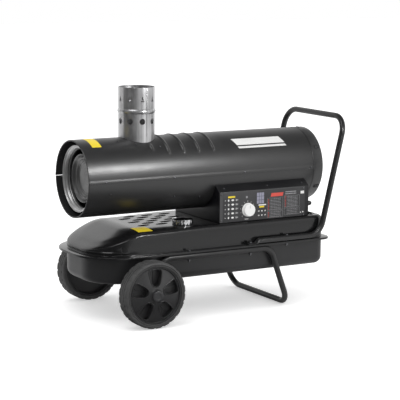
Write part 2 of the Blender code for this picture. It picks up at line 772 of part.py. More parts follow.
def pickup_and_drain():
    bulb_low = TANK_BOTTOM + SHEET + PICKUP_BULB_LIFT
    bulb_high = bulb_low + PICKUP_BULB_HEIGHT
    foot = LID_TOP + GAP
    turned("fuel_pickup", [
        (0.0, bulb_low), (PICKUP_BULB_RADIUS, bulb_low), (PICKUP_BULB_RADIUS, bulb_high),
        (PICKUP_PIPE_RADIUS, bulb_high + PICKUP_PIPE_RADIUS), (PICKUP_PIPE_RADIUS, foot),
        (PICKUP_FOOT_RADIUS, foot), (PICKUP_FOOT_RADIUS, foot + PICKUP_FOOT_THICKNESS),
        (PICKUP_PIPE_RADIUS, foot + PICKUP_FOOT_THICKNESS), (PICKUP_PIPE_RADIUS, PICKUP_TOP),
        (0.0, PICKUP_TOP),
    ], CIRCLE_STEPS, brass(), (PICKUP_X, 0.0, 0.0))
    low = TANK_BOTTOM + DRAIN_PLUG_INSET
    high = TANK_BOTTOM + SHEET + DRAIN_BOSS_HEIGHT
    turned("drain_plug", [
        (0.0, low + DRAIN_SOCKET_DEPTH), (DRAIN_SOCKET_RADIUS, low + DRAIN_SOCKET_DEPTH),
        (DRAIN_SOCKET_RADIUS, low), (DRAIN_PLUG_RADIUS, low), (DRAIN_PLUG_RADIUS, high), (0.0, high),
    ], MIDDLE_STEPS, zinc(), (DRAIN_X, 0.0, 0.0))


# Drum shells, collar and guard
def on_drum(radius, angle, x):
    """A point at an angle above the -Y side of the drum, in degrees."""
    turn = math.radians(angle)
    return (x, -radius * math.cos(turn), DRUM_AXIS_HEIGHT + radius * math.sin(turn))


def seam_angle():
    return -math.degrees(math.asin(SEAM_DROP / DRUM_RADIUS))


def shell_loops(stations, start, end):
    """One loop per station of a part-round sheet, out along one face and back on the other."""
    loops = []
    angles = [start + (end - start) * step / SHELL_STEPS for step in range(SHELL_STEPS + 1)]
    for x, raised in stations:
        outer = [on_drum(DRUM_RADIUS + raised(angle), angle, x) for angle in angles]
        inner = [on_drum(DRUM_RADIUS - DRUM_SHEET + raised(angle), angle, x)
                 for angle in reversed(angles)]
        loops.append(outer + inner)
    return loops


def strip_mesh(loops):
    """As lofted_mesh, but with ends closed strip by strip, because they are part rings."""
    bm = bmesh.new()
    rings = [[bm.verts.new(point) for point in loop] for loop in loops]
    count = len(rings[0])
    for ring, following in zip(rings, rings[1:]):
        for index in range(count):
            after = (index + 1) % count
            bm.faces.new((ring[index], ring[after], following[after], following[index]))
    for ring in (rings[0], rings[-1]):
        for index in range(count // 2 - 1):
            mirror = count - 1 - index
            bm.faces.new((ring[index], ring[index + 1], ring[mirror - 1], ring[mirror]))
    return bm


def drum_lower():
    gap_angle = math.degrees(GAP / DRUM_RADIUS)
    start = seam_angle() - gap_angle
    stations = [(DRUM_FRONT_X, plain), (COLLAR_X - GAP, plain)]
    loops = shell_loops(stations, start, -180.0 - start)
    made = finish("drum_lower_shell", strip_mesh(loops), black_paint())
    low = DRUM_AXIS_HEIGHT - DRUM_RADIUS - OVERRUN
    passage = bore("cut_fuel_passage", FUEL_PASSAGE_RADIUS, low, low + 2 * OVERRUN + DRUM_SHEET,
                   PICKUP_X, 0.0)
    boolean(made, passage)
    return made


def plain(angle):
    return 0.0


def long_bead(angle):
    """Runs over the top and ends well above each seam."""
    return BEAD_HEIGHT if abs(angle - 90.0) <= 90.0 - BEAD_LOW_ANGLE else 0.0


def short_bead(angle):
    """Runs up each side only as far as the flue."""
    from_top = abs(angle - 90.0)
    inside = 90.0 - SHORT_BEAD_HIGH_ANGLE <= from_top <= 90.0 - SHORT_BEAD_LOW_ANGLE
    return BEAD_HEIGHT if inside else 0.0


def drum_upper():
    start = seam_angle()
    half = BEAD_WIDTH / 2
    stations = [(DRUM_FRONT_X, plain)]
    for bead in range(BEAD_COUNT):
        middle = FRONT_X + BEAD_FIRST_FROM_FRONT + BEAD_PITCH * bead
        raised = long_bead if bead else short_bead
        stations += [(middle - half, plain), (middle, raised), (middle + half, plain)]
    stations.append((COLLAR_X - GAP, plain))
    loops = shell_loops(stations, start, 180.0 - start)
    made = finish("drum_upper_shell", strip_mesh(loops), black_paint())
    hole = bore("cut_flue", FLUE_RADIUS - FLUE_WALL, DRUM_AXIS_HEIGHT + DRUM_RADIUS / 2,
                DRUM_AXIS_HEIGHT + DRUM_RADIUS + OVERRUN, FLUE_X, 0.0, FLUE_STEPS)
    boolean(made, hole)
    return made


def rear_collar():
    axis = (0.0, 0.0, DRUM_AXIS_HEIGHT)
    outer = DRUM_RADIUS
    sleeve = DRUM_RADIUS - DRUM_SHEET - GAP
    inner = sleeve - DRUM_SHEET
    turned("rear_collar", [
        (inner, COLLAR_X - COLLAR_SLEEVE), (sleeve, COLLAR_X - COLLAR_SLEEVE), (sleeve, COLLAR_X),
        (outer, COLLAR_X), (outer, DRUM_REAR_X), (inner, DRUM_REAR_X),
    ], SHELL_STEPS * 2, black_paint(), axis, "X")


def rear_guard():
    """Grille of rings and bars, cut from one polar grid so that it stays one body."""
    outer = DRUM_RADIUS - 2 * DRUM_SHEET - GAP - GUARD_CLEARANCE
    cells = GUARD_SPOKES * (GUARD_CELLS + 1)
    pitch = (outer - GUARD_BAND - GUARD_HUB_RADIUS) / GUARD_RINGS
    radii = [GUARD_HUB_RADIUS]
    for ring in range(1, GUARD_RINGS):
        middle = GUARD_HUB_RADIUS + pitch * ring
        radii += [middle - GUARD_WIRE / 2, middle + GUARD_WIRE / 2]
    radii += [outer - GUARD_BAND, outer]
    bar = GUARD_WIRE / (outer / 2)
    gap_cell = (2 * math.pi / GUARD_SPOKES - bar) / GUARD_CELLS
    angles = []
    for spoke in range(GUARD_SPOKES):
        base = 2 * math.pi * spoke / GUARD_SPOKES - bar / 2
        angles += [base] + [base + bar + gap_cell * step for step in range(GUARD_CELLS)]
    bm = bmesh.new()
    centre = bm.verts.new((0, 0, 0))
    grid = [[bm.verts.new((r * math.cos(a), r * math.sin(a), 0.0)) for a in angles] for r in radii]
    for cell in range(cells):
        after = (cell + 1) % cells
        bm.faces.new((centre, grid[0][cell], grid[0][after]))
        for band in range(len(radii) - 1):
            is_wire = band % 2 == 1
            is_bar = cell % (GUARD_CELLS + 1) == 0
            if is_wire or is_bar:
                bm.faces.new((grid[band][cell], grid[band + 1][cell],
                              grid[band + 1][after], grid[band][after]))
    faces = list(bm.faces)
    moved = bmesh.ops.extrude_face_region(bm, geom=faces, use_keep_orig=True)
    tips = [item for item in moved["geom"] if isinstance(item, bmesh.types.BMVert)]
    bmesh.ops.translate(bm, verts=tips, vec=(0, 0, GUARD_DEPTH))
    made = finish("rear_guard", bm, black_paint())
    made.rotation_euler = AXES["X"]
    made.location = (GUARD_X, 0.0, DRUM_AXIS_HEIGHT)


# Flue
def flue_pipe():
    place = (FLUE_X, 0.0, 0.0)
    base = DRUM_AXIS_HEIGHT + DRUM_RADIUS / 2
    inner = FLUE_RADIUS - FLUE_WALL
    low, high = FLUE_BEAD_HEIGHT - FLUE_BEAD_WIDTH / 2, FLUE_BEAD_HEIGHT + FLUE_BEAD_WIDTH / 2
    proud = FLUE_BEAD_PROUD
    quarter = FLUE_BEAD_WIDTH / 4
    pipe = turned("flue_pipe", [
        (inner, base), (FLUE_RADIUS, base), (FLUE_RADIUS, low),
        (FLUE_RADIUS + proud, low + quarter), (FLUE_RADIUS + proud, high - quarter),
        (FLUE_RADIUS, high), (FLUE_RADIUS, FLUE_TOP), (inner, FLUE_TOP),
    ], FLUE_STEPS, galvanised(), place)
    reach = 2 * FLUE_RADIUS
    drum_form = cutter(turned("cut_drum_form", [
        (0.0, FLUE_X - reach), (DRUM_RADIUS + GAP, FLUE_X - reach),
        (DRUM_RADIUS + GAP, FLUE_X + reach), (0.0, FLUE_X + reach),
    ], FINE_STEPS * 4, galvanised(), (0.0, 0.0, DRUM_AXIS_HEIGHT), "X"))
    boolean(pipe, drum_form)
    boolean(pipe, flue_holes())
    return pipe


def flue_holes():
    bm = bmesh.new()
    for hole in range(FLUE_HOLE_COUNT):
        turn = math.radians(FLUE_HOLE_PHASE + 360.0 * hole / FLUE_HOLE_COUNT)
        outward = Vector((math.cos(turn), math.sin(turn), 0.0))
        sideways = Vector((-math.sin(turn), math.cos(turn), 0.0))
        start = Vector((FLUE_X, 0.0, FLUE_HOLE_HEIGHT)) + outward * (FLUE_RADIUS - OVERRUN)
        ring = [start + sideways * u + Vector((0.0, 0.0, v))
                for u, v in arc((0.0, 0.0), FLUE_HOLE_RADIUS, 0, 360, CIRCLE_STEPS)[:-1]]
        face = bm.faces.new([bm.verts.new(point) for point in ring])
        moved = bmesh.ops.extrude_face_region(bm, geom=[face], use_keep_orig=True)
        tips = [item for item in moved["geom"] if isinstance(item, bmesh.types.BMVert)]
        bmesh.ops.translate(bm, verts=tips, vec=outward * 2 * OVERRUN)
    return cutter(finish("cut_flue_holes", bm, galvanised()))


# Heat exchanger and combustion chamber
def heat_exchanger():
    """Hollow ring that the burnt gas passes through, with a stub up into the flue."""
    axis = (0.0, 0.0, DRUM_AXIS_HEIGHT)
    flue_axis = (FLUE_X, 0.0, 0.0)
    front, rear = RING_FRONT_X, RING_FRONT_X + RING_LENGTH
    middle = (RING_INNER + RING_OUTER) / 2
    stub_radius = FLUE_RADIUS - FLUE_WALL - GAP
    stub_low = DRUM_AXIS_HEIGHT + RING_OUTER / 2
    stub_top = DRUM_AXIS_HEIGHT + DRUM_RADIUS + STUB_ABOVE_DRUM
    ring = turned("heat_exchanger_ring", [
        (0.0, stub_low), (stub_radius, stub_low), (stub_radius, stub_top), (0.0, stub_top),
    ], FLUE_STEPS, heat_steel(), flue_axis)
    core = cutter(turned("cut_ring_core", [
        (0.0, front - OVERRUN), (middle, front - OVERRUN), (middle, rear + OVERRUN),
        (0.0, rear + OVERRUN),
    ], RING_STEPS, heat_steel(), axis, "X"))
    body = cutter(turned("join_ring_body", [
        (RING_INNER, front + RING_NOSE), (middle, front), (RING_OUTER, front + RING_NOSE),
        (RING_OUTER, rear), (RING_INNER, rear),
    ], RING_STEPS, heat_steel(), axis, "X"))
    gas_front, gas_rear = front + RING_NOSE + RING_WALL, rear - RING_WALL
    gas_inner, gas_outer = RING_INNER + RING_WALL, RING_OUTER - RING_WALL
    gas_space = cutter(turned("cut_gas_space", [
        (gas_inner, gas_front), (gas_outer, gas_front), (gas_outer, gas_rear),
        (gas_inner, gas_rear),
    ], RING_STEPS, heat_steel(), axis, "X"))
    stub_bore = bore("cut_stub_bore", stub_radius - STUB_WALL, stub_low, stub_top + OVERRUN,
                     FLUE_X, 0.0, FLUE_STEPS)
    boolean(stub_bore, core)
    boolean(ring, core)
    boolean(ring, body, "UNION")
    boolean(ring, gas_space)
    boolean(ring, stub_bore)
    return ring


def combustion_chamber():
    """Closed at the outlet end with a rounded shoulder; short ducts lead to the ring."""
    axis = (0.0, 0.0, DRUM_AXIS_HEIGHT)
    front, rear = CHAMBER_FRONT_X, CHAMBER_REAR_X
    shoulder = arc((CHAMBER_RADIUS - CHAMBER_SHOULDER, front + CHAMBER_SHOULDER),
                   CHAMBER_SHOULDER, -90, 0, FILLET_STEPS)
    inner = CHAMBER_RADIUS - CHAMBER_WALL
    profile = [(0.0, front)] + shoulder + [
        (CHAMBER_RADIUS, rear), (inner, rear), (inner, front + CHAMBER_SHOULDER),
        (CHAMBER_RADIUS - CHAMBER_SHOULDER, front + CHAMBER_WALL), (0.0, front + CHAMBER_WALL),
    ]
    chamber = turned("combustion_chamber", profile, RING_STEPS, heat_steel(), axis, "X")
    for index, angle in enumerate(DUCT_ANGLES):
        boolean(chamber, chamber_duct(index, angle), "UNION")
    return chamber


def chamber_duct(index, angle):
    """A short radial spigot between the chamber's wall and the ring's inner wall."""
    turn = math.radians(angle)
    facet = math.cos(math.pi / RING_STEPS)
    outward = Vector((0.0, -math.cos(turn), math.sin(turn)))
    across = Vector((0.0, math.sin(turn), math.cos(turn)))
    start_radius = CHAMBER_RADIUS * facet - CHAMBER_WALL / 2
    end_radius = RING_INNER * facet - GAP
    reach = math.sqrt(end_radius ** 2 - DUCT_RADIUS ** 2) - start_radius
    middle_x = CHAMBER_FRONT_X + DUCT_FROM_CHAMBER_FRONT
    base = Vector((middle_x, 0.0, DRUM_AXIS_HEIGHT)) + outward * start_radius
    ring = [base + Vector((u, 0.0, 0.0)) + across * v
            for u, v in arc((0.0, 0.0), DUCT_RADIUS, 0, 360, CIRCLE_STEPS)[:-1]]
    return cutter(extruded("join_duct_%d" % index, ring, outward * reach, heat_steel()))


def exchanger_support(name, x):
    """Band round the ring with four arms out to the drum, cut as one flat star."""
    quarter = 360.0 / SUPPORT_ARMS
    half = math.degrees(SUPPORT_ARM_WIDTH / 2 / RING_OUTER)
    free = (quarter - 2 * half) / SUPPORT_STEPS
    band_inner = (RING_OUTER + GAP) / math.cos(math.radians(free / 2))
    band_outer = band_inner + SUPPORT_BAND
    tip = (DRUM_RADIUS - DRUM_SHEET) * math.cos(math.radians(90.0 / SHELL_STEPS)) - GAP
    angles, is_arm = [], []
    for arm in range(SUPPORT_ARMS):
        middle = quarter * (arm + 1 / 2)
        angles.append(middle - half)
        is_arm.append(True)
        for step in range(SUPPORT_STEPS):
            angles.append(middle + half + free * step)
            is_arm.append(False)
    count = len(angles)
    bm = bmesh.new()
    rows = [[bm.verts.new(on_drum(r, a, x)) for a in angles] for r in (band_inner, band_outer)]
    for index in range(count):
        after = (index + 1) % count
        bm.faces.new((rows[0][index], rows[1][index], rows[1][after], rows[0][after]))
        if is_arm[index]:
            tips = [bm.verts.new(on_drum(tip, angles[i], x)) for i in (index, after)]
            bm.faces.new((rows[1][index], tips[0], tips[1], rows[1][after]))
    moved = bmesh.ops.extrude_face_region(bm, geom=list(bm.faces), use_keep_orig=True)
    ends = [item for item in moved["geom"] if isinstance(item, bmesh.types.BMVert)]
    bmesh.ops.translate(bm, verts=ends, vec=(SUPPORT_WIDTH, 0, 0))
    return finish(name, bm, heat_steel())


# Burner
def plate_hole(name, radius, place):
    """Cutter for a hole through the burner's mounting plate."""
    low, high = BURNER_X - OVERRUN, BURNER_REAR_X + OVERRUN
    clear = radius + BORE_CLEARANCE
    profile = [(0.0, low), (clear, low), (clear, high), (0.0, high)]
    return cutter(turned(name, profile, CIRCLE_STEPS, ceramic(), place, "X"))


def burner_group():
    axis = (0.0, 0.0, DRUM_AXIS_HEIGHT)
    front = BURNER_X - BURNER_TUBE_REACH
    tube_inner = BURNER_TUBE_RADIUS - BURNER_TUBE_WALL
    head = turned("burner_head", [
        (BURNER_BORE_RADIUS + BORE_CLEARANCE, BURNER_X), (tube_inner, BURNER_X),
        (tube_inner, front + BURNER_TUBE_WALL), (BURNER_THROAT_RADIUS, front + BURNER_TUBE_WALL),
        (BURNER_THROAT_RADIUS, front), (BURNER_TUBE_RADIUS, front),
        (BURNER_TUBE_RADIUS, BURNER_X), (CHAMBER_RADIUS, BURNER_X),
        (CHAMBER_RADIUS, BURNER_REAR_X), (BURNER_BORE_RADIUS + BORE_CLEARANCE, BURNER_REAR_X),
    ], MIDDLE_STEPS, cast_alloy(), axis, "X")
    seat = BURNER_REAR_X + GAP
    tip_x = BURNER_X - NOZZLE_BODY_LENGTH
    collar_end = seat + NOZZLE_COLLAR_THICKNESS
    turned("nozzle_line", [
        (0.0, tip_x - NOZZLE_TIP_LENGTH), (NOZZLE_TIP_RADIUS / 2, tip_x - NOZZLE_TIP_LENGTH),
        (NOZZLE_TIP_RADIUS, tip_x - NOZZLE_TIP_LENGTH / 2), (NOZZLE_BODY_RADIUS, tip_x),
        (BURNER_BORE_RADIUS, BURNER_X - BURNER_PLATE_THICKNESS), (BURNER_BORE_RADIUS, seat),
        (NOZZLE_COLLAR_RADIUS, seat), (NOZZLE_COLLAR_RADIUS, collar_end),
        (NOZZLE_PIPE_RADIUS, collar_end), (NOZZLE_PIPE_RADIUS, PUMP_COVER_X - GAP),
        (0.0, PUMP_COVER_X - GAP),
    ], MIDDLE_STEPS, brass(), axis, "X")
    place = (0.0, -ELECTRODE_OFFSET, DRUM_AXIS_HEIGHT + ELECTRODE_RISE)
    boolean(head, plate_hole("cut_electrode", ELECTRODE_RADIUS, place))
    turned("ignition_electrode", [
        (0.0, BURNER_X - ELECTRODE_REACH), (ELECTRODE_TIP_RADIUS, BURNER_X - ELECTRODE_REACH),
        (ELECTRODE_TIP_RADIUS, BURNER_X - ELECTRODE_BARE),
        (ELECTRODE_RADIUS, BURNER_X - ELECTRODE_BARE),
        (ELECTRODE_RADIUS, seat), (ELECTRODE_SLEEVE, seat),
        (ELECTRODE_SLEEVE, seat + ELECTRODE_TAIL), (0.0, seat + ELECTRODE_TAIL),
    ], CIRCLE_STEPS, ceramic(), place, "X")
    place = (0.0, 0.0, DRUM_AXIS_HEIGHT - PHOTOCELL_DROP)
    boolean(head, plate_hole("cut_photocell", PHOTOCELL_RADIUS, place))
    turned("flame_photocell", [
        (0.0, BURNER_X - BURNER_PLATE_THICKNESS), (PHOTOCELL_RADIUS, BURNER_X - BURNER_PLATE_THICKNESS),
        (PHOTOCELL_RADIUS, seat), (PHOTOCELL_FLANGE, seat), (PHOTOCELL_FLANGE, seat + PHOTOCELL_TAIL),
        (0.0, seat + PHOTOCELL_TAIL),
    ], CIRCLE_STEPS, black_plastic(), place, "X")


# Motor, pump, fan
def motor_group():
    axis = (0.0, 0.0, DRUM_AXIS_HEIGHT)
    hole = SHAFT_RADIUS + BORE_CLEARANCE
    inner = MOTOR_RADIUS - MOTOR_WALL
    turned("fan_motor_housing", [
        (hole, MOTOR_X), (MOTOR_RADIUS, MOTOR_X), (MOTOR_RADIUS, MOTOR_REAR_X), (hole, MOTOR_REAR_X),
        (hole, MOTOR_REAR_X - MOTOR_END_WALL), (inner, MOTOR_REAR_X - MOTOR_END_WALL),
        (inner, MOTOR_X + MOTOR_END_WALL), (hole, MOTOR_X + MOTOR_END_WALL),
    ], MOTOR_STEPS, motor_paint(), axis, "X")
    middle = (MOTOR_X + MOTOR_REAR_X) / 2
    half = STATOR_LENGTH / 2
    turned("motor_stator", [
        (STATOR_INNER, middle - half), (inner - GAP, middle - half), (inner - GAP, middle + half),
        (STATOR_INNER, middle + half),
    ], MOTOR_STEPS, brass(), axis, "X")
    half = ROTOR_LENGTH / 2
    fan_rear = FAN_X + FAN_HUB_LENGTH
    turned("motor_shaft", [
        (0.0, PUMP_X + PUMP_WALL), (SHAFT_RADIUS, PUMP_X + PUMP_WALL),
        (SHAFT_RADIUS, middle - half), (ROTOR_RADIUS, middle - half),
        (ROTOR_RADIUS, middle + half), (SHAFT_RADIUS, middle + half),
        (SHAFT_RADIUS, fan_rear), (0.0, fan_rear),
    ], MOTOR_STEPS, zinc(), axis, "X")


def motor_bracket():
    """Saddle under the motor with two splayed legs down to the drum."""
    saddle = MOTOR_RADIUS + GAP
    leg_end = (DRUM_RADIUS - DRUM_SHEET) * math.cos(math.radians(90.0 / SHELL_STEPS)) - GAP
    span = BRACKET_SPAN_ANGLE
    half = math.degrees(BRACKET_LEG / 2 / leg_end)
    start, end = -90.0 - span, -90.0 + span
    steps = CIRCLE_STEPS
    inner = [start + (end - start) * step / steps for step in range(steps + 1)]
    outline = [on_drum(saddle, angle, 0.0) for angle in inner]
    outer_radius = saddle + BRACKET_SADDLE
    outline.append(on_drum(outer_radius, end, 0.0))
    foot = end - 2 * half
    outline += [on_drum(leg_end, end, 0.0), on_drum(leg_end, foot, 0.0),
                on_drum(outer_radius, foot - half, 0.0)]
    between = [foot - half + (start - foot + 4 * half) * step / steps for step in range(1, steps)]
    outline += [on_drum(outer_radius, angle, 0.0) for angle in between]
    back = start + 2 * half
    outline += [on_drum(outer_radius, back + half, 0.0), on_drum(leg_end, back, 0.0),
                on_drum(leg_end, start, 0.0), on_drum(outer_radius, start, 0.0)]
    front = MOTOR_X + (MOTOR_LENGTH - BRACKET_LENGTH) / 2
    shifted = [(front, y, z) for x, y, z in outline]
    return extruded("motor_bracket", shifted, (BRACKET_LENGTH, 0, 0), tube_paint())


def pump_group():
    """Oil pump on the front of the motor, driven by the same shaft as the fan."""
    axis = (0.0, 0.0, DRUM_AXIS_HEIGHT)
    hole = SHAFT_RADIUS + BORE_CLEARANCE
    turned("fuel_pump_body", [
        (PUMP_CAVITY_RADIUS, PUMP_X), (PUMP_RADIUS, PUMP_X), (PUMP_RADIUS, PUMP_REAR_X),
        (hole, PUMP_REAR_X), (hole, PUMP_REAR_X - PUMP_WALL),
        (PUMP_CAVITY_RADIUS, PUMP_REAR_X - PUMP_WALL),
    ], MOTOR_STEPS, cast_alloy(), axis, "X")
    rotor_rear = PUMP_REAR_X - PUMP_WALL - GAP
    rotor_front = rotor_rear - PUMP_ROTOR_THICKNESS
    keyed = SHAFT_RADIUS + PRESS_CLEARANCE
    turned("fuel_pump_rotor", [
        (keyed, rotor_front), (PUMP_CAVITY_RADIUS - GAP, rotor_front),
        (PUMP_CAVITY_RADIUS - GAP, rotor_rear), (keyed, rotor_rear),
    ], MOTOR_STEPS, zinc(), axis, "X")
    turned("fuel_pump_cover", [
        (0.0, PUMP_COVER_X), (PUMP_RADIUS, PUMP_COVER_X),
        (PUMP_RADIUS, PUMP_X - GAP), (0.0, PUMP_X - GAP),
    ], MOTOR_STEPS, cast_alloy(), axis, "X")


def fan_blade(index):
    """One pitched blade, as a thin helical strip from inside the hub to the tip."""
    base = 360.0 * index / FAN_BLADES
    root = FAN_HUB_RADIUS - FAN_BLADE_THICKNESS
    rings = []
    for span in range(BLADE_STEPS + 1):
        outward = span / BLADE_STEPS
        radius = root + (FAN_RADIUS - root) * outward
        half_span = FAN_BLADE_HALF_SPAN * (FAN_ROOT_SHARE + (1 - FAN_ROOT_SHARE) * outward)
        depth = FAN_BLADE_DEPTH * (1 - FAN_TIP_FLATTENING_SHARE * outward)
        front_row, back_row = [], []
        for chord in range(BLADE_STEPS + 1):
            along = 2 * chord / BLADE_STEPS - 1
            angle = math.radians(base + half_span * along)
            x = FAN_X + (FAN_HUB_LENGTH + depth * along) / 2
            y, z = radius * math.cos(angle), DRUM_AXIS_HEIGHT + radius * math.sin(angle)
            front_row.append((x - FAN_BLADE_THICKNESS / 2, y, z))
            back_row.append((x + FAN_BLADE_THICKNESS / 2, y, z))
        rings.append(front_row + back_row[::-1])
    return strip_mesh(rings)


def fan():
    axis = (0.0, 0.0, DRUM_AXIS_HEIGHT)
    hole = SHAFT_RADIUS + PRESS_CLEARANCE
    hub = turned("fan", [
        (hole, FAN_X), (FAN_HUB_RADIUS, FAN_X), (FAN_HUB_RADIUS, FAN_X + FAN_HUB_LENGTH),
        (hole, FAN_X + FAN_HUB_LENGTH),
    ], FINE_STEPS, black_plastic(), axis, "X")
    for index in range(FAN_BLADES):
        blade = cutter(finish("join_blade_%d" % index, fan_blade(index), black_plastic()))
        boolean(hub, blade, "UNION")


def fuel_hose():
    """Rises from the pickup, through the box and the drum, to the pump's underside."""
    low = PICKUP_TOP + GAP
    high = DRUM_AXIS_HEIGHT - PUMP_RADIUS - GAP
    turned("fuel_hose", [
        (HOSE_BORE, low), (HOSE_RADIUS, low), (HOSE_RADIUS, high), (HOSE_BORE, high),
    ], CIRCLE_STEPS, rubber(), (PICKUP_X, 0.0, 0.0))


# Control box
def cradle_section(half_width, floor, shoulder, radius, angle):
    """Section across the box: straight sides, and a top hollowed to carry the drum."""
    clear = radius / math.cos(math.radians((90.0 - angle) / CRADLE_STEPS))
    hollow = [on_drum(clear, -angle - (180.0 - 2 * angle) * step / CRADLE_STEPS, 0.0)
              for step in range(CRADLE_STEPS + 1)]
    sides = [(0.0, -half_width, shoulder)] + hollow + [
        (0.0, half_width, shoulder), (0.0, half_width, floor), (0.0, -half_width, floor)]
    return [(y, z) for _, y, z in sides]


def control_box():
    outer = cradle_section(BOX_HALF_WIDTH, BOX_FLOOR, BOX_SHOULDER_HEIGHT,
                           DRUM_RADIUS + GAP, BOX_CRADLE_ANGLE)
    box = extruded("control_box", [(BOX_FRONT_X, y, z) for y, z in outer],
                   (BOX_LENGTH, 0, 0), black_paint())
    inner = cradle_section(BOX_HALF_WIDTH - SHEET, BOX_FLOOR + SHEET,
                           BOX_SHOULDER_HEIGHT - SHEET, DRUM_RADIUS + GAP + SHEET,
                           BOX_CRADLE_ANGLE)
    room = cutter(extruded("cut_box_room", [(BOX_FRONT_X + SHEET, y, z) for y, z in inner],
                           (BOX_LENGTH - 2 * SHEET, 0, 0), black_paint()))
    boolean(box, room)
    window = cutter(block("cut_box_window",
                          (BOX_FRONT_X + BOX_LIP, -BOX_HALF_WIDTH - OVERRUN, PANEL_BOTTOM + BOX_LIP),
                          (BOX_FRONT_X + PANEL_LENGTH - BOX_LIP, -BOX_HALF_WIDTH + OVERRUN,
                           BOX_SHOULDER_HEIGHT - BOX_LIP), black_paint()))
    boolean(box, window)
    floor_hole = bore("cut_box_floor", PICKUP_PIPE_RADIUS + BORE_CLEARANCE, BOX_FLOOR - OVERRUN,
                      BOX_FLOOR + SHEET + OVERRUN, PICKUP_X, 0.0)
    boolean(box, floor_hole)
    top = DRUM_AXIS_HEIGHT - DRUM_RADIUS
    roof_hole = bore("cut_box_roof", FUEL_PASSAGE_RADIUS, top - SHEET - OVERRUN, top + OVERRUN,
                     PICKUP_X, 0.0)
    boolean(box, roof_hole)
    gland_hole = cutter(turned("cut_gland", [
        (0.0, BOX_REAR_X - SHEET - OVERRUN), (GLAND_RADIUS + BORE_CLEARANCE, BOX_REAR_X - SHEET - OVERRUN),
        (GLAND_RADIUS + BORE_CLEARANCE, BOX_REAR_X + OVERRUN), (0.0, BOX_REAR_X + OVERRUN)],
        CIRCLE_STEPS, black_plastic(), (0.0, GLAND_Y, GLAND_HEIGHT), "X"))
    boolean(box, gland_hole)
    return box


def control_panel():
    panel = block("control_panel", (BOX_FRONT_X, PANEL_Y - PANEL_THICKNESS, PANEL_BOTTOM),
                  (BOX_FRONT_X + PANEL_LENGTH, PANEL_Y, BOX_SHOULDER_HEIGHT), black_plastic())
    low, high = PANEL_Y - PANEL_THICKNESS - OVERRUN, PANEL_Y + OVERRUN
    clear = SPINDLE_RADIUS + BORE_CLEARANCE
    hole = cutter(turned("cut_spindle", [(0.0, low), (clear, low), (clear, high), (0.0, high)],
                         FINE_STEPS, black_plastic(), (KNOB_X, 0.0, KNOB_HEIGHT), "Y"))
    boolean(panel, hole)
    return panel


def knob_group():
    """Knob with its stem, turning about an axis square to the panel."""
    back = -GAP
    front = back - KNOB_DEPTH
    face = PANEL_THICKNESS + GAP
    stem_end = face + THERMOSTAT_BORE_DEPTH - GAP
    turned("thermostat_knob", [
        (0.0, stem_end), (SPINDLE_RADIUS, stem_end), (SPINDLE_RADIUS, back),
        (KNOB_RADIUS, back), (KNOB_RADIUS, back - KNOB_SKIRT),
        (KNOB_TOP_RADIUS, back - 2 * KNOB_SKIRT), (KNOB_TOP_RADIUS, front + KNOB_EDGE),
        (KNOB_TOP_RADIUS - KNOB_EDGE, front), (0.0, front),
    ], FINE_STEPS, white_plastic(), (KNOB_X, PANEL_Y - PANEL_THICKNESS, KNOB_HEIGHT), "Y")
    hole = SPINDLE_RADIUS + BORE_CLEARANCE
    turned("thermostat_body", [
        (0.0, face + THERMOSTAT_BORE_DEPTH), (hole, face + THERMOSTAT_BORE_DEPTH), (hole, face),
        (THERMOSTAT_RADIUS, face), (THERMOSTAT_RADIUS, face + THERMOSTAT_DEPTH),
        (0.0, face + THERMOSTAT_DEPTH),
    ], CIRCLE_STEPS * 2, black_plastic(), (KNOB_X, PANEL_Y - PANEL_THICKNESS, KNOB_HEIGHT), "Y")


def box_fittings():
    wall = BOX_REAR_X
    inside = wall - SHEET - GLAND_INNER_LENGTH
    hex_end = wall + GLAND_HEX_LENGTH
    nose_end = hex_end + GLAND_NOSE_LENGTH
    turned("cable_gland", [
        (GLAND_BORE_RADIUS, inside), (GLAND_RADIUS, inside), (GLAND_RADIUS, wall + GAP),
        (GLAND_HEX_RADIUS, wall + GAP), (GLAND_HEX_RADIUS, hex_end), (GLAND_RADIUS, hex_end),
        (GLAND_RADIUS, nose_end), (GLAND_BORE_RADIUS, nose_end),
    ], CIRCLE_STEPS, black_plastic(), (0.0, GLAND_Y, GLAND_HEIGHT), "X")
    floor = BOX_FLOOR + SHEET + GAP
    low_x = BOX_FRONT_X + BOARD_FROM_BOX_FRONT
    under = floor + BOARD_FOOT
    top = under + BOARD_THICKNESS
    near, far = BOARD_Y - BOARD_WIDTH / 2, BOARD_Y + BOARD_WIDTH / 2
    foot = BOARD_FOOT_THICKNESS
    outline = [(near, floor), (near + foot, floor), (near + foot, under), (far - foot, under),
               (far - foot, floor), (far, floor), (far, top), (near, top)]
    extruded("control_board", [(low_x, y, z) for y, z in outline], (BOARD_LENGTH, 0, 0),
             board_green())
    low_x = BOX_FRONT_X + TRANSFORMER_FROM_BOX_FRONT
    half = TRANSFORMER_WIDTH / 2
    transformer = block("ignition_transformer", (low_x, TRANSFORMER_Y - half, floor),
                        (low_x + TRANSFORMER_LENGTH, TRANSFORMER_Y + half,
                         floor + TRANSFORMER_HEIGHT), black_plastic())
    soften = transformer.modifiers.new("edges", "BEVEL")
    soften.width = TRANSFORMER_BEVEL
    soften.segments = 1


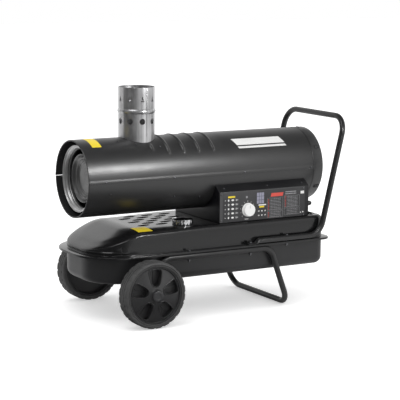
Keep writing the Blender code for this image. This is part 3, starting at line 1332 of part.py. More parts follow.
# Wheels and axle
def rim_and_tyre(side, label):
    """Origin on the axle; local Z points outward, away from the heater."""
    place = (AXLE_X, 0.0, WHEEL_RADIUS)
    centre = bpy.data.objects.new("wheel_axis_" + label, None)
    centre.location = place
    centre.rotation_euler = (0.0, 0.0, 0.0 if side > 0 else math.pi)
    bpy.context.scene.collection.objects.link(centre)
    outer = WHEEL_OUTER_Y
    inner = outer - WHEEL_WIDTH
    seat = WHEEL_RADIUS - TYRE_DEPTH
    tyre = turned("tyre_" + label, [
        (seat, inner), (WHEEL_RADIUS - TYRE_SHOULDER, inner), (WHEEL_RADIUS, inner + TYRE_SHOULDER),
        (WHEEL_RADIUS, outer - TYRE_SHOULDER), (WHEEL_RADIUS - TYRE_SHOULDER, outer), (seat, outer),
    ], WHEEL_STEPS, rubber(), (0.0, 0.0, 0.0), "Y")
    tyre.parent = centre
    hub = wheel_hub(label, inner, outer, seat - GAP)
    hub.parent = centre
    pockets = pocket_cutters(label, outer)
    pockets.parent = centre
    boolean(hub, pockets)
    cap = hub_cap(label, outer)
    cap.parent = centre


def wheel_hub(label, inner, outer, rim):
    hole = AXLE_RADIUS + BORE_CLEARANCE
    barrel_in = TUBE_Y + TUBE_RADIUS + GAP
    barrel_out = outer + HUB_PROUD
    web_out = outer - WEB_INSET
    web_in = web_out - WEB_THICKNESS
    rim_inner = rim - RIM_WALL
    return turned("wheel_hub_" + label, [
        (hole, barrel_in), (HUB_RADIUS, barrel_in), (HUB_RADIUS, web_in), (rim_inner, web_in),
        (rim_inner, inner + RIM_INSET), (rim, inner + RIM_INSET), (rim, outer - RIM_INSET),
        (rim_inner, outer - RIM_INSET), (rim_inner, web_out), (HUB_RADIUS, web_out + WEB_RISE),
        (HUB_RADIUS, barrel_out), (hole, barrel_out),
    ], WHEEL_STEPS, black_plastic(), (0.0, 0.0, 0.0), "Y")


def pocket_outline():
    """One petal-shaped pocket between two spokes that widen outwards, pointing up."""
    levels = [(POCKET_INNER_HALF, POCKET_INNER_RADIUS), (POCKET_MIDDLE_HALF, POCKET_MIDDLE_RADIUS),
              (POCKET_OUTER_HALF, POCKET_OUTER_RADIUS)]
    side = [(half, math.sqrt(radius ** 2 - half ** 2)) for half, radius in levels]
    path = side + [(0.0, POCKET_OUTER_RADIUS)] + [(-half, height) for half, height in reversed(side)]
    return [Vector((u, v)) for u, v in path]


def rounded_loop(corners, radius, steps):
    """Round the corners of a closed outline, except those that are nearly straight."""
    points = []
    count = len(corners)
    for index, corner in enumerate(corners):
        back = (corners[index - 1] - corner).normalized()
        ahead = (corners[(index + 1) % count] - corner).normalized()
        half = back.angle(ahead) / 2
        if math.degrees(half) > 75:
            points.append(corner)
            continue
        reach = radius / math.tan(half)
        start, end = corner + back * reach, corner + ahead * reach
        for step in range(steps + 1):
            share = step / steps
            points.append(start * (1 - share) ** 2 + corner * 2 * share * (1 - share) + end * share ** 2)
    return points


def pocket_cutters(label, outer):
    bm = bmesh.new()
    shape = rounded_loop(pocket_outline(), POCKET_CORNER, POCKET_CORNER_STEPS)
    low = outer - WEB_INSET - POCKET_DEPTH
    high = outer - WEB_INSET + WEB_RISE + OVERRUN
    for index in range(POCKET_COUNT):
        turn = 2 * math.pi * index / POCKET_COUNT
        ring = [(p.x * math.cos(turn) - p.y * math.sin(turn), low,
                 p.x * math.sin(turn) + p.y * math.cos(turn)) for p in shape]
        face = bm.faces.new([bm.verts.new(point) for point in ring])
        moved = bmesh.ops.extrude_face_region(bm, geom=[face], use_keep_orig=True)
        tips = [item for item in moved["geom"] if isinstance(item, bmesh.types.BMVert)]
        bmesh.ops.translate(bm, verts=tips, vec=(0, high - low, 0))
    return cutter(finish("cut_pockets_" + label, bm, black_plastic()))


def hub_cap(label, outer):
    """Pressed cap that holds the wheel on the axle's end."""
    seat = outer + HUB_PROUD + GAP
    inner = AXLE_RADIUS + BORE_CLEARANCE
    top = seat + HUB_CAP_DEPTH
    return turned("hub_cap_" + label, [
        (0.0, top - HUB_CAP_WALL), (inner, top - HUB_CAP_WALL), (inner, seat), (HUB_CAP_RADIUS, seat),
        (HUB_CAP_RADIUS, top - 2 * HUB_CAP_WALL), (HUB_CAP_RADIUS - 2 * HUB_CAP_WALL, top), (0.0, top),
    ], FINE_STEPS, black_plastic(), (0.0, 0.0, 0.0), "Y")


def axle():
    end = WHEEL_OUTER_Y + HUB_PROUD + HUB_CAP_DEPTH - 2 * HUB_CAP_WALL
    turned("axle", [(0.0, -end), (AXLE_RADIUS, -end), (AXLE_RADIUS, end), (0.0, end)],
           CIRCLE_STEPS, zinc(), (AXLE_X, 0.0, WHEEL_RADIUS), "Y")


# Leg frame and handle
def leg_frame():
    """One bent tube: from the axle up to the flange, back, down, across the floor and up."""
    front_x = FRONT_X + LEG_FRONT_BEND_FROM_FRONT
    rear_x = FRONT_X + LEG_REAR_BEND_FROM_FRONT
    foot_x = FRONT_X + LEG_FOOT_FROM_FRONT
    rise = Vector((front_x - AXLE_X, 0.0, RAIL_HEIGHT - WHEEL_RADIUS)).normalized()
    tip = Vector((AXLE_X, 0.0, WHEEL_RADIUS)) - rise * AXLE_END_REACH
    side = [(tip.x, tip.z), (front_x, RAIL_HEIGHT), (rear_x, RAIL_HEIGHT), (foot_x, TUBE_RADIUS)]
    near = [(x, -TUBE_Y, z) for x, z in side]
    far = [(x, TUBE_Y, z) for x, z in reversed(side)]
    made = tube("leg_frame", rounded_path(near + far, TUBE_BEND), TUBE_RADIUS, tube_paint())
    across = cutter(turned("cut_axle_holes", [
        (0.0, -WHEEL_OUTER_Y), (AXLE_RADIUS + BORE_CLEARANCE, -WHEEL_OUTER_Y),
        (AXLE_RADIUS + BORE_CLEARANCE, WHEEL_OUTER_Y), (0.0, WHEEL_OUTER_Y),
    ], CIRCLE_STEPS, zinc(), (AXLE_X, 0.0, WHEEL_RADIUS), "Y"))
    boolean(made, across)
    return made


def handle():
    """Bent tube with flattened ends, bolted along the flange."""
    start_x = FRONT_X + HANDLE_START_FROM_FRONT
    bend_x = FRONT_X + HANDLE_LOW_BEND_FROM_FRONT
    end_of_tongue = start_x + HANDLE_TONGUE
    full_from = end_of_tongue + HANDLE_TONGUE / 2
    side = [(start_x, HANDLE_LOW_HEIGHT), (end_of_tongue, HANDLE_LOW_HEIGHT),
            (full_from, HANDLE_LOW_HEIGHT), (bend_x, HANDLE_LOW_HEIGHT),
            (HANDLE_TOP_X, HANDLE_HEIGHT)]
    near = [Vector((x, -TUBE_Y, z)) for x, z in side]
    far = [Vector((x, TUBE_Y, z)) for x, z in reversed(side)]
    bent = rounded_path([near[2], near[3], near[4], far[0], far[1], far[2]], HANDLE_BEND)
    made = tube("handle", near[:2] + bent + far[3:], TUBE_RADIUS, tube_paint())
    flatten_ends(made.data, start_x, end_of_tongue, full_from)
    return made


def flatten_ends(mesh, start_x, tongue_x, full_x):
    base = HANDLE_LOW_HEIGHT - TUBE_RADIUS
    flat_share = HANDLE_TONGUE_THICKNESS / (2 * TUBE_RADIUS)
    for vert in mesh.vertices:
        if vert.co.x > full_x - MERGE or vert.co.z > HANDLE_LOW_HEIGHT + 2 * TUBE_RADIUS:
            continue
        side = math.copysign(TUBE_Y, vert.co.y)
        vert.co.z = base + (vert.co.z - base) * flat_share
        vert.co.y = side + (vert.co.y - side) * HANDLE_TONGUE_SPREAD_SHARE


def bolt_layout():
    """Each station: bottom of the stack, top of the stack, on both sides."""
    tube_low = RAIL_HEIGHT - TUBE_RADIUS
    tongue_top = FLANGE_TOP + GAP + HANDLE_TONGUE_THICKNESS
    tube_top = HANDLE_LOW_HEIGHT + TUBE_RADIUS
    return {"front": (tube_low, FLANGE_TOP), "middle": (tube_low, tongue_top),
            "rear": (FLANGE_HEIGHT, tube_top)}


def bolts(carriers):
    drill = bmesh.new()
    for station, (low, high) in bolt_layout().items():
        for label, side in (("left", -1), ("right", 1)):
            place = (BOLT_STATIONS[station], side * TUBE_Y, 0.0)
            head = high + GAP
            end = low - GAP - NUT_HEIGHT - BOLT_TAIL
            turned("bolt_%s_%s" % (station, label), [
                (0.0, end), (BOLT_RADIUS, end), (BOLT_RADIUS, head), (BOLT_HEAD_RADIUS, head),
                (BOLT_HEAD_RADIUS, head + BOLT_HEAD_HEIGHT), (0.0, head + BOLT_HEAD_HEIGHT),
            ], HEX_STEPS, zinc(), place)
            nut_top = low - GAP
            bore_radius = (BOLT_RADIUS + BORE_CLEARANCE) / math.cos(math.pi / HEX_STEPS)
            turned("nut_%s_%s" % (station, label), [
                (bore_radius, nut_top - NUT_HEIGHT), (NUT_RADIUS, nut_top - NUT_HEIGHT),
                (NUT_RADIUS, nut_top), (bore_radius, nut_top),
            ], HEX_STEPS, zinc(), place)
            ring = [Vector((place[0] + u, place[1] + v, low - OVERRUN)) for u, v in
                    arc((0.0, 0.0), BOLT_RADIUS + BORE_CLEARANCE, 0, 360, CIRCLE_STEPS)[:-1]]
            face = drill.faces.new([drill.verts.new(point) for point in ring])
            moved = bmesh.ops.extrude_face_region(drill, geom=[face], use_keep_orig=True)
            tips = [item for item in moved["geom"] if isinstance(item, bmesh.types.BMVert)]
            bmesh.ops.translate(drill, verts=tips, vec=(0, 0, high - low + 2 * OVERRUN))
    holes = cutter(finish("cut_bolt_holes", drill, zinc()))
    for carrier in carriers:
        boolean(carrier, holes)


def clear_scene():
    for existing in list(bpy.data.objects):
        bpy.data.objects.remove(existing)


def main():
    clear_scene()
    shell, lid, cover = tank_group()
    filler_group()
    pickup_and_drain()
    drum_lower()
    drum_upper()
    rear_collar()
    rear_guard()
    flue_pipe()
    heat_exchanger()
    combustion_chamber()
    exchanger_support("exchanger_support_front", RING_FRONT_X + SUPPORT_FRONT_FROM_RING)
    exchanger_support("exchanger_support_rear", RING_FRONT_X + SUPPORT_REAR_FROM_RING)
    burner_group()
    motor_group()
    motor_bracket()
    pump_group()
    fan()
    fuel_hose()
    control_box()
    control_panel()
    knob_group()
    box_fittings()
    axle()
    rim_and_tyre(-1, "left")
    rim_and_tyre(1, "right")
    legs = leg_frame()
    grip = handle()
    bolts((shell, lid, cover, legs, grip))


main()
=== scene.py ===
# %% [markdown]
# # A wheeled hot-air heater
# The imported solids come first: they hold every real size and every joint. This script gives
# them their finishes, and puts a finer piece wherever the solid is too plain for a close look.
# Everything is in metres. The outlet faces -X, the handle +X and the control panel -Y. Many
# pieces are turned or cut round the drum's axis, so its height and radius are named first.
# %% Load the solids
import math

import bmesh
import bpy
from mathutils import Matrix, Vector


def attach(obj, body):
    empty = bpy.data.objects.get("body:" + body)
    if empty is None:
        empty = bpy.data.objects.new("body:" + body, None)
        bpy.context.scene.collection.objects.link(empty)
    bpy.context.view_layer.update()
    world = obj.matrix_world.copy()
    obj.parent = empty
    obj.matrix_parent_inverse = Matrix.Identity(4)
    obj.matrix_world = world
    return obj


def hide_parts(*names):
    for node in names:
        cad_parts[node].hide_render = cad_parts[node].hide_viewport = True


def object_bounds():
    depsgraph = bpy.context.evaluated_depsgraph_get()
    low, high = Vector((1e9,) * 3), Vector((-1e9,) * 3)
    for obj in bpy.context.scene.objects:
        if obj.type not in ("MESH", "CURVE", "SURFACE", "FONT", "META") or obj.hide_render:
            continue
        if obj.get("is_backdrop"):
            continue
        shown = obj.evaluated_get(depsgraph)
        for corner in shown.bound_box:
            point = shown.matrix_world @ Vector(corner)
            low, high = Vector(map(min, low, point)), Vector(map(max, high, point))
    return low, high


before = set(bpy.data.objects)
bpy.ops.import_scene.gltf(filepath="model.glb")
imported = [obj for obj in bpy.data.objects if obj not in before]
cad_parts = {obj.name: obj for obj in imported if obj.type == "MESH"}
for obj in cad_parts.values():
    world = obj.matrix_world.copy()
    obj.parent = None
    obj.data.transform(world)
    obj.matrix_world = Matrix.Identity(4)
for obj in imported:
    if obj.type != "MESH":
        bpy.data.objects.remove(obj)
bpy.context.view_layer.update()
AXIS_Z, DRUM_R = 0.461, 0.127
scene = bpy.context.scene


def placed(name, data):
    """A new object in the scene."""
    made = bpy.data.objects.new(name, data)
    scene.collection.objects.link(made)
    return made


# %% [markdown]
# ## Camera
# The camera stands where the photographer stood. Four things fix it: the direction from
# the object, the distance, the lens and a very small roll. A long lens from five metres keeps
# the drum's edges almost parallel, as in the photograph.
# %% Camera
AZIMUTH, ELEVATION, ROLL = math.radians(-30.12), math.radians(9.223), math.radians(0.47)
DISTANCE, LENS = 5.0496, 133.5
TARGET = Vector((0.0083, 0.0, 0.3571))

back = Vector((math.sin(AZIMUTH) * math.cos(ELEVATION),
               -math.cos(AZIMUTH) * math.cos(ELEVATION), math.sin(ELEVATION)))
right = Vector((math.cos(AZIMUTH), math.sin(AZIMUTH), 0.0))
up = back.cross(right)
camera_x = right * math.cos(ROLL) + up * math.sin(ROLL)
camera_y = up * math.cos(ROLL) - right * math.sin(ROLL)
camera = placed("camera", bpy.data.cameras.new("camera"))
camera.data.lens, camera.data.sensor_width = LENS, 36.0
turned = Matrix((camera_x, camera_y, back)).transposed().to_4x4()
camera.matrix_world = Matrix.Translation(TARGET + back * DISTANCE) @ turned
scene.camera = camera
print("camera at", [round(c, 3) for c in camera.matrix_world.translation])

# %% [markdown]
# ## A short way to write nodes
# Shader nodes are easier to read as sums. Wire wraps a socket, and Python's own operators
# on it add Math nodes. Nodes adds any other node to its tree, and Finish is one material.
# %% Shader helpers


class Wire:
    """A node's output that can be added, multiplied and so on."""

    def __init__(self, tree, socket):
        self.tree, self.socket = tree, socket

    def math(self, operation, first, second=0.0):
        node = self.tree.nodes.new("ShaderNodeMath")
        node.operation = operation
        for entry, value in zip(node.inputs, (first, second)):
            if isinstance(value, Wire):
                self.tree.links.new(value.socket, entry)
            else:
                entry.default_value = value
        return Wire(self.tree, node.outputs[0])

    def __add__(self, other):
        return self.math("ADD", self, other)

    def __sub__(self, other):
        return self.math("SUBTRACT", self, other)

    def __rsub__(self, other):
        return self.math("SUBTRACT", other, self)

    def __mul__(self, other):
        return self.math("MULTIPLY", self, other)

    def __truediv__(self, other):
        return self.math("DIVIDE", self, other)


class Nodes:
    """A node tree, and a short way to add a node to it."""

    def __init__(self, tree):
        self.tree = tree

    def node(self, kind, inputs=None, out=0, stops=None, **settings):
        made = self.tree.nodes.new(kind)
        for key, value in settings.items():
            setattr(made, key, value)
        if stops:
            ramp = made.color_ramp
            while len(ramp.elements) < len(stops):
                ramp.elements.new(0.5)
            for element, (position, shade) in zip(ramp.elements, stops):
                element.position, element.color = position, (shade, shade, shade, 1.0)
        for key, value in (inputs or {}).items():
            if isinstance(value, Wire):
                self.tree.links.new(value.socket, made.inputs[key])
            else:
                made.inputs[key].default_value = value
        return Wire(self.tree, made.outputs[out])


class Finish(Nodes):
    """One material: a Principled shader and the nodes that feed it."""

    def __init__(self, name, colour, roughness, metallic=0.0, **settings):
        self.material = bpy.data.materials.new(name)
        self.material.use_nodes = True
        super().__init__(self.material.node_tree)
        self.shader = self.tree.nodes["Principled BSDF"]
        self.colour = colour
        self.shader.inputs["Base Color"].default_value = (*colour, 1.0)
        self.shader.inputs["Roughness"].default_value = roughness
        self.shader.inputs["Metallic"].default_value = metallic
        for entry, value in settings.items():
            self.shader.inputs[entry.replace("_", " ")].default_value = value
        self.place = self.node("ShaderNodeTexCoord", out="Object")

    def noise(self, scale, detail=3.0, stretch=(1.0, 1.0, 1.0)):
        spread = self.node("ShaderNodeMapping", {"Vector": self.place, "Scale": stretch})
        return self.node("ShaderNodeTexNoise", {"Vector": spread, "Scale": scale, "Detail": detail},
                         out="Fac")

    def ramp(self, value, *stops):
        return self.node("ShaderNodeValToRGB", {"Fac": value}, stops=stops)

    def axis(self, name):
        return self.node("ShaderNodeSeparateXYZ", {"Vector": self.place}, out=name)

    def mix(self, mask, first, second):
        shades = {6: (*first, 1.0) if isinstance(first, tuple) else first,
                  7: (*second, 1.0) if isinstance(second, tuple) else second, 0: mask}
        return self.node("ShaderNodeMix", shades, out=2, data_type="RGBA")

    def feed(self, entry, value):
        self.tree.links.new(value.socket, self.shader.inputs[entry])

    def bump(self, height, distance):
        """Relief in metres: height runs from 0 to 1 over the distance."""
        self.feed("Normal", self.node("ShaderNodeBump", {"Height": height, "Distance": distance,
                                                         "Strength": 1.0}, out="Normal"))


# %% [markdown]
# ## World and lamps
# Black gloss paint shows little of its own colour: what the eye sees is the room in it. The
# camera sees plain white. Reflections see the same white sweep behind the heater and the
# white floor, but a dim ceiling and a dim room behind the camera, as in a photo studio.
# A small lamp draws the long highlight on the drum. Two large ones light the rest plainly.
# %% Studio
scene.view_settings.view_transform = "Standard"
world = bpy.data.worlds.new("studio")
scene.world = world
world.use_nodes = True
world.node_tree.nodes.clear()
sky = Nodes(world.node_tree)
CAMERA_SIDE = (-0.502, -0.865, 0.0)


def shade(direction, low, shades, high):
    """Brightness along one direction: the first shade below low, the second above high."""
    return sky.node("ShaderNodeMapRange", {0: direction, 1: low, 2: high, 3: shades[0], 4: shades[1]})


def background(strength):
    """Plain white of some strength."""
    return sky.node("ShaderNodeBackground", {0: (1.0, 1.0, 1.0, 1.0), 1: strength})


def ray_is(kind):
    """1 for rays of one kind, and 0 for all others."""
    return sky.node("ShaderNodeLightPath", out="Is " + kind + " Ray")


generated = sky.node("ShaderNodeTexCoord", out="Generated")
rightward, upward = (sky.node("ShaderNodeSeparateXYZ", {0: generated}, out=axis) for axis in "XZ")
backward = sky.node("ShaderNodeVectorMath", {0: generated, 1: CAMERA_SIDE}, out="Value",
                    operation="DOT_PRODUCT")
ceiling = shade(upward, 0.42, (1.0, 0.12), 0.85)
sweep = shade(backward, 0.55, (1.0, 0.12), 0.92)
left_wall = shade(rightward, -0.8, (0.2, 1.0), -0.35)
room = background(ceiling * sweep * left_wall)
mirrored = upward.math("MAXIMUM", ray_is("Glossy"), ray_is("Transmission"))
light = sky.node("ShaderNodeMixShader", {0: mirrored, 1: background(0.9), 2: room})
light = sky.node("ShaderNodeMixShader", {0: ray_is("Camera"), 1: light, 2: background(1.0)})
sky.tree.links.new(light.socket, sky.tree.nodes.new("ShaderNodeOutputWorld").inputs[0])


def softbox(name, place, aim, width, height, power):
    """A rectangular lamp at a place, turned to face a point."""
    light = bpy.data.lights.new(name, "AREA")
    light.shape, light.size, light.size_y, light.energy = "RECTANGLE", width, height, power
    lamp = placed(name, light)
    lamp.location = place
    lamp.rotation_euler = (Vector(aim) - Vector(place)).to_track_quat("-Z", "Y").to_euler()
    return lamp


band_lamp = softbox("band_softbox", (0.26, -1.22, 1.12), (-0.46, -0.1, 0.5), 0.22, 0.26, 11.5)
band_lamp.visible_diffuse = False
right_lamp = softbox("right_softbox", (2.6, -1.5, 1.5), (0.1, 0.0, 0.3), 0.9, 1.2, 10.0)
right_lamp.visible_glossy = False
softbox("overhead", (-1.15, -0.45, 2.5), (-0.4, 0.0, 0.4), 1.1, 1.1, 13.0)

# %% [markdown]
# ## Finishes
# Powder coat on pressed steel is a dark colour under a clear skin with a fine orange peel,
# never quite flat, with a trace of dust where the surface faces up. Each finish below is
# that kind of small story: what the surface is, then what handling has done to it.
# %% Black paints


def dust(finish, amount, roughness, dusty_roughness):
    """Pale dust and dull patches where the surface faces up."""
    facing = finish.node("ShaderNodeNewGeometry", out="Normal")
    upward = finish.node("ShaderNodeSeparateXYZ", {"Vector": facing}, out="Z")
    patches = finish.ramp(finish.noise(9.0, 5.0), (0.42, 0.0), (0.75, 1.0))
    settled = finish.ramp(upward, (0.35, 0.0), (0.95, 1.0)) * patches * amount
    finish.feed("Base Color", finish.mix(settled, finish.colour, (0.32, 0.31, 0.3)))
    smears = finish.noise(26.0, 4.0) - 0.5
    finish.feed("Roughness", smears * 0.1 + settled * dusty_roughness + roughness)


def powder_coat(name, colour, roughness, peel=0.00004, shine=0.5):
    """Paint baked on steel, with orange peel and a trace of dust."""
    finish = Finish(name, colour, roughness, Specular_IOR_Level=shine)
    dust(finish, 0.02, roughness, 0.35)
    skin = finish.noise(420.0, 2.0) * 0.6 + finish.noise(6.0, 1.0) * 3.0
    finish.bump(skin, peel)
    return finish


drum_paint = powder_coat("drum_paint", (0.018, 0.018, 0.0185), 0.35, shine=0.7)
cover_paint = powder_coat("cover_paint", (0.008, 0.008, 0.0085), 0.17, peel=0.00003)
tank_paint = powder_coat("tank_paint", (0.02, 0.02, 0.021), 0.36, shine=0.4)
box_paint = powder_coat("box_paint", (0.004, 0.004, 0.0055), 0.36)
tube_paint = powder_coat("tube_paint", (0.014, 0.014, 0.0145), 0.3)
inside_paint = powder_coat("inside_paint", (0.012, 0.012, 0.012), 0.55)
motor_grey = powder_coat("motor_grey", (0.12, 0.13, 0.14), 0.45)
print("materials so far:", len(bpy.data.materials))

# %% [markdown]
# Bare metals carry their history as lines: rolled sheet has streaks along the roll, spun
# parts have rings, and zinc grows pale crystals. A noise that is stretched along one axis
# makes the streaks; cells from a Voronoi texture make the crystals.
# %% Bare metals


def metal(name, colour, roughness, scale, stretch=(1.0, 1.0, 1.0), spread=0.12, relief=0.00002,
          depth=0.55):
    """Bare metal with streaks; depth is how dark they are beside the colour."""
    finish = Finish(name, colour, roughness, 1.0)
    streaks = finish.noise(scale, 5.0, stretch)
    broad = finish.noise(14.0, 2.0)
    streaked = finish.ramp(streaks * 0.7 + broad * 0.3, (0.3, 0.0), (0.7, 1.0))
    darker = tuple(c * depth for c in colour)
    finish.feed("Base Color", finish.mix(streaked, darker, colour))
    finish.feed("Roughness", (streaks - 0.5) * spread + (broad - 0.5) * spread + roughness)
    finish.bump(streaks, relief)
    return finish


def spun(name, colour, roughness, darkens_from):
    """Sheet spun on a lathe: fine rings round the drum's axis, and near black past a depth along that axis.
    """
    finish = Finish(name, colour, roughness, 1.0)
    across, up = finish.axis("Y"), finish.axis("Z") - AXIS_Z
    radius = across.math("SQRT", across * across + up * up)
    rings = finish.node("ShaderNodeTexNoise", {"W": radius, "Scale": 260.0, "Detail": 3.0},
                        out="Fac", noise_dimensions="1D")
    stain = finish.noise(22.0, 4.0)
    # Past a depth along the drum's axis the colour turns near black; the darkening follows that depth alone.
    deep_darkening = finish.ramp(finish.axis("X") + 0.5 + (stain - 0.5) * 0.006,
                       (darkens_from + 0.5, 0.0), (darkens_from + 0.512, 1.0))
    ringed = finish.ramp(rings * 0.6 + stain * 0.4, (0.35, 0.0), (0.65, 1.0))
    worn = finish.mix(ringed, tuple(c * 0.6 for c in colour), colour)
    finish.feed("Base Color", finish.mix(deep_darkening, worn, (0.012, 0.012, 0.012)))
    finish.feed("Roughness", (rings - 0.5) * 0.15 + deep_darkening * 0.3 + roughness)
    finish.bump(rings, 0.00003)
    return finish


galvanised = metal("galvanised", (0.78, 0.78, 0.79), 0.33, 60.0, (1.0, 1.0, 0.02), 0.2, depth=0.34)
crystals = galvanised.node("ShaderNodeTexVoronoi", {"Vector": galvanised.place, "Scale": 90.0},
                           out="Distance")
galvanised.feed("Metallic", 1.0 - crystals * 0.12)
ring_steel = spun("ring_steel", (0.88, 0.88, 0.88), 0.42, -0.436)
disc_steel = spun("disc_steel", (0.34, 0.34, 0.34), 0.34, -0.405)
plated = metal("plated", (0.6, 0.6, 0.62), 0.32, 200.0)
dark_bolt = metal("dark_bolt", (0.16, 0.16, 0.17), 0.38, 200.0)
chrome = metal("chrome", (0.84, 0.84, 0.86), 0.07, 120.0, spread=0.04, relief=0.000005)
cast_alloy = metal("cast_alloy", (0.46, 0.46, 0.47), 0.52, 260.0, spread=0.2, relief=0.0002)
brass = metal("brass", (0.62, 0.45, 0.19), 0.33, 150.0)
copper = metal("copper", (0.55, 0.27, 0.16), 0.35, 400.0, (1.0, 0.1, 0.1))
print("materials so far:", len(bpy.data.materials))

# %% [markdown]
# Plastic and rubber have a fine moulded grain. The tyre gathers pale dust in its tread,
# which is only a colour mix driven by noise.
# %% Plastic, rubber and print


def moulded(name, colour, roughness, grain=500.0, relief=0.00006, worn=0.15):
    """Plastic, rubber or print with a fine grain and pale, duller clouds of wear."""
    finish = Finish(name, colour, roughness)
    speck = finish.noise(grain, 2.0)
    cloud = finish.noise(18.0, 4.0)
    paler = tuple(min(1.0, c * 1.25 + 0.012) for c in colour)
    rubbed = finish.ramp(cloud, (0.35, 0.0), (0.8, 1.0)) * worn * 4.0
    finish.feed("Base Color", finish.mix(rubbed, colour, paler))
    finish.feed("Roughness", (cloud - 0.5) * worn + roughness)
    finish.bump(speck, relief)
    return finish


PRINT_GRAIN = (900.0, 0.00001)
tyre_rubber = moulded("tyre_rubber", (0.046, 0.046, 0.046), 0.62, 260.0, 0.0001, 0.2)
hub_plastic = moulded("hub_plastic", (0.022, 0.022, 0.023), 0.36)
black_plastic = moulded("black_plastic", (0.024, 0.024, 0.026), 0.48)
panel_plastic = moulded("panel_plastic", (0.024, 0.024, 0.026), 0.4, 700.0, 0.00003)
hose_rubber = moulded("hose_rubber", (0.02, 0.02, 0.02), 0.7)
knob_plastic = moulded("knob_plastic", (0.88, 0.88, 0.87), 0.38, 600.0, 0.00002, 0.05)
ceramic = moulded("ceramic", (0.78, 0.76, 0.7), 0.3, 300.0, 0.00002, 0.05)
board_green = moulded("board_green", (0.03, 0.16, 0.06), 0.45)
white_print = moulded("white_print", (0.78, 0.78, 0.77), 0.42, *PRINT_GRAIN, 0.05)
grey_print = moulded("grey_print", (0.3, 0.3, 0.31), 0.45, *PRINT_GRAIN, 0.08)
margin_print = moulded("margin_print", (0.05, 0.05, 0.052), 0.42, *PRINT_GRAIN, 0.08)
blue_grey_print = moulded("blue_grey_print", (0.28, 0.28, 0.36), 0.45, *PRINT_GRAIN, 0.08)
yellow_film = moulded("yellow_film", (0.84, 0.64, 0.02), 0.4, *PRINT_GRAIN, 0.06)
red_print = moulded("red_print", (0.66, 0.07, 0.05), 0.42, *PRINT_GRAIN, 0.06)
print("materials so far:", len(bpy.data.materials))

# %% [markdown]
# ## Making pieces
# A few tools cover nearly every piece: a lathe for round ones, a block with rounded upright
# corners for pressed trays, a bent tube, and a Boolean that is applied at once.
# %% Modelling tools
WELD, NEAR = 0.000005, 0.00001
TURN = {"Z": Matrix.Identity(4), "X": Matrix.Rotation(math.pi / 2, 4, "Y"),
        "Y": Matrix.Rotation(-math.pi / 2, 4, "X"), "-Y": Matrix.Rotation(math.pi / 2, 4, "X")}


def moved(bm, matrix):
    """Move and turn a mesh; most tools here give their mesh back, so that they can be chained."""
    bmesh.ops.transform(bm, matrix=matrix, verts=bm.verts)
    return bm


def outward(bm):
    """Weld a mesh and turn its faces outward."""
    bmesh.ops.remove_doubles(bm, verts=bm.verts, dist=WELD)
    bmesh.ops.recalc_face_normals(bm, faces=bm.faces)
    return bm


def clamped(value):
    """A share held between 0 and 1."""
    return min(1.0, max(0.0, value))


def shifted(points, first, second):
    """Points told from another origin."""
    return [(first + a, second + b) for a, b in points]


def lathe(profile, steps, place=(0.0, 0.0, 0.0), axis="Z", closed=False):
    """Spin (radius, height) points once round an axis."""
    bm = bmesh.new()
    verts = [bm.verts.new((radius, 0.0, height)) for radius, height in profile]
    edges = [bm.edges.new(pair) for pair in zip(verts, verts[1:])]
    if closed:
        edges.append(bm.edges.new((verts[-1], verts[0])))
    bmesh.ops.spin(bm, geom=verts + edges, cent=(0, 0, 0), axis=(0, 0, 1),
                   angle=2 * math.pi, steps=steps, use_merge=True)
    return moved(outward(bm), Matrix.Translation(place) @ TURN[axis])


def round_axis(profile, steps, closed=False):
    """Lathe work round the drum's axis, from (radius, x) points."""
    return lathe(profile, steps, (0, 0, AXIS_Z), "X", closed)


def plug(radius, low, high, steps, place=(0.0, 0.0, 0.0), axis="Z"):
    """A plain cylinder, mostly to cut with."""
    return lathe([(0.0, low), (radius, low), (radius, high), (0.0, high)], steps, place, axis)


def pipe(inner, outer, low, high, steps, place=(0.0, 0.0, 0.0)):
    """An upright pipe with square ends."""
    return lathe([(inner, low), (outer, low), (outer, high), (inner, high)], steps, place, closed=True)


def prism(corners, way):
    """A flat outline, extruded one way."""
    bm = bmesh.new()
    bm.faces.new([bm.verts.new(corner) for corner in corners])
    return extruded(bm, way)


def extruded(bm, way):
    """A flat mesh given depth."""
    grown = bmesh.ops.extrude_face_region(bm, geom=list(bm.faces), use_keep_orig=True)
    verts = [v for v in grown["geom"] if isinstance(v, bmesh.types.BMVert)]
    bmesh.ops.translate(bm, vec=way, verts=verts)
    return bm


def bevel(bm, edges, offset, segments):
    """Round some edges of a mesh."""
    bmesh.ops.bevel(bm, geom=edges, offset=offset, segments=segments, profile=0.5, affect="EDGES",
                    material=-1, clamp_overlap=False)


def block(low, high, edge=0.0, segments=2):
    """A box between two corners, with all its edges rounded if asked."""
    bm = bmesh.new()
    bmesh.ops.create_cube(bm, size=1.0)
    low, high = Vector(low), Vector(high)
    bmesh.ops.scale(bm, vec=high - low, verts=bm.verts)
    bmesh.ops.translate(bm, vec=(low + high) / 2, verts=bm.verts)
    if edge:
        bevel(bm, list(bm.edges), edge, segments)
    return bm


def tray(low, high, front_corner, rear_corner):
    """A block whose upright corners are rounded, wide at the front and tight at the rear."""
    bm = block(low, high)
    for corner, steps, end in ((front_corner, 24, low[0]), (rear_corner, 10, high[0])):
        upright = [e for e in bm.edges if abs(e.verts[0].co.z - e.verts[1].co.z) > NEAR
                   and abs(e.verts[0].co.x - end) < NEAR
                   and abs(abs(e.verts[0].co.y) - high[1]) < NEAR]
        bevel(bm, upright, corner, steps)
    return bm


def rim_edges(bm, height):
    """The edges that lie flat at a height."""
    return [e for e in bm.edges if all(abs(v.co.z - height) < NEAR for v in e.verts)]


def cut_plane(bm, point, normal, dist=NEAR, clear_outer=False):
    """Cut a mesh by a plane; the side that the normal points to is kept unless cleared."""
    everything = list(bm.verts) + list(bm.edges) + list(bm.faces)
    return bmesh.ops.bisect_plane(bm, geom=everything, dist=dist, plane_co=point, plane_no=normal,
                                  clear_outer=clear_outer)


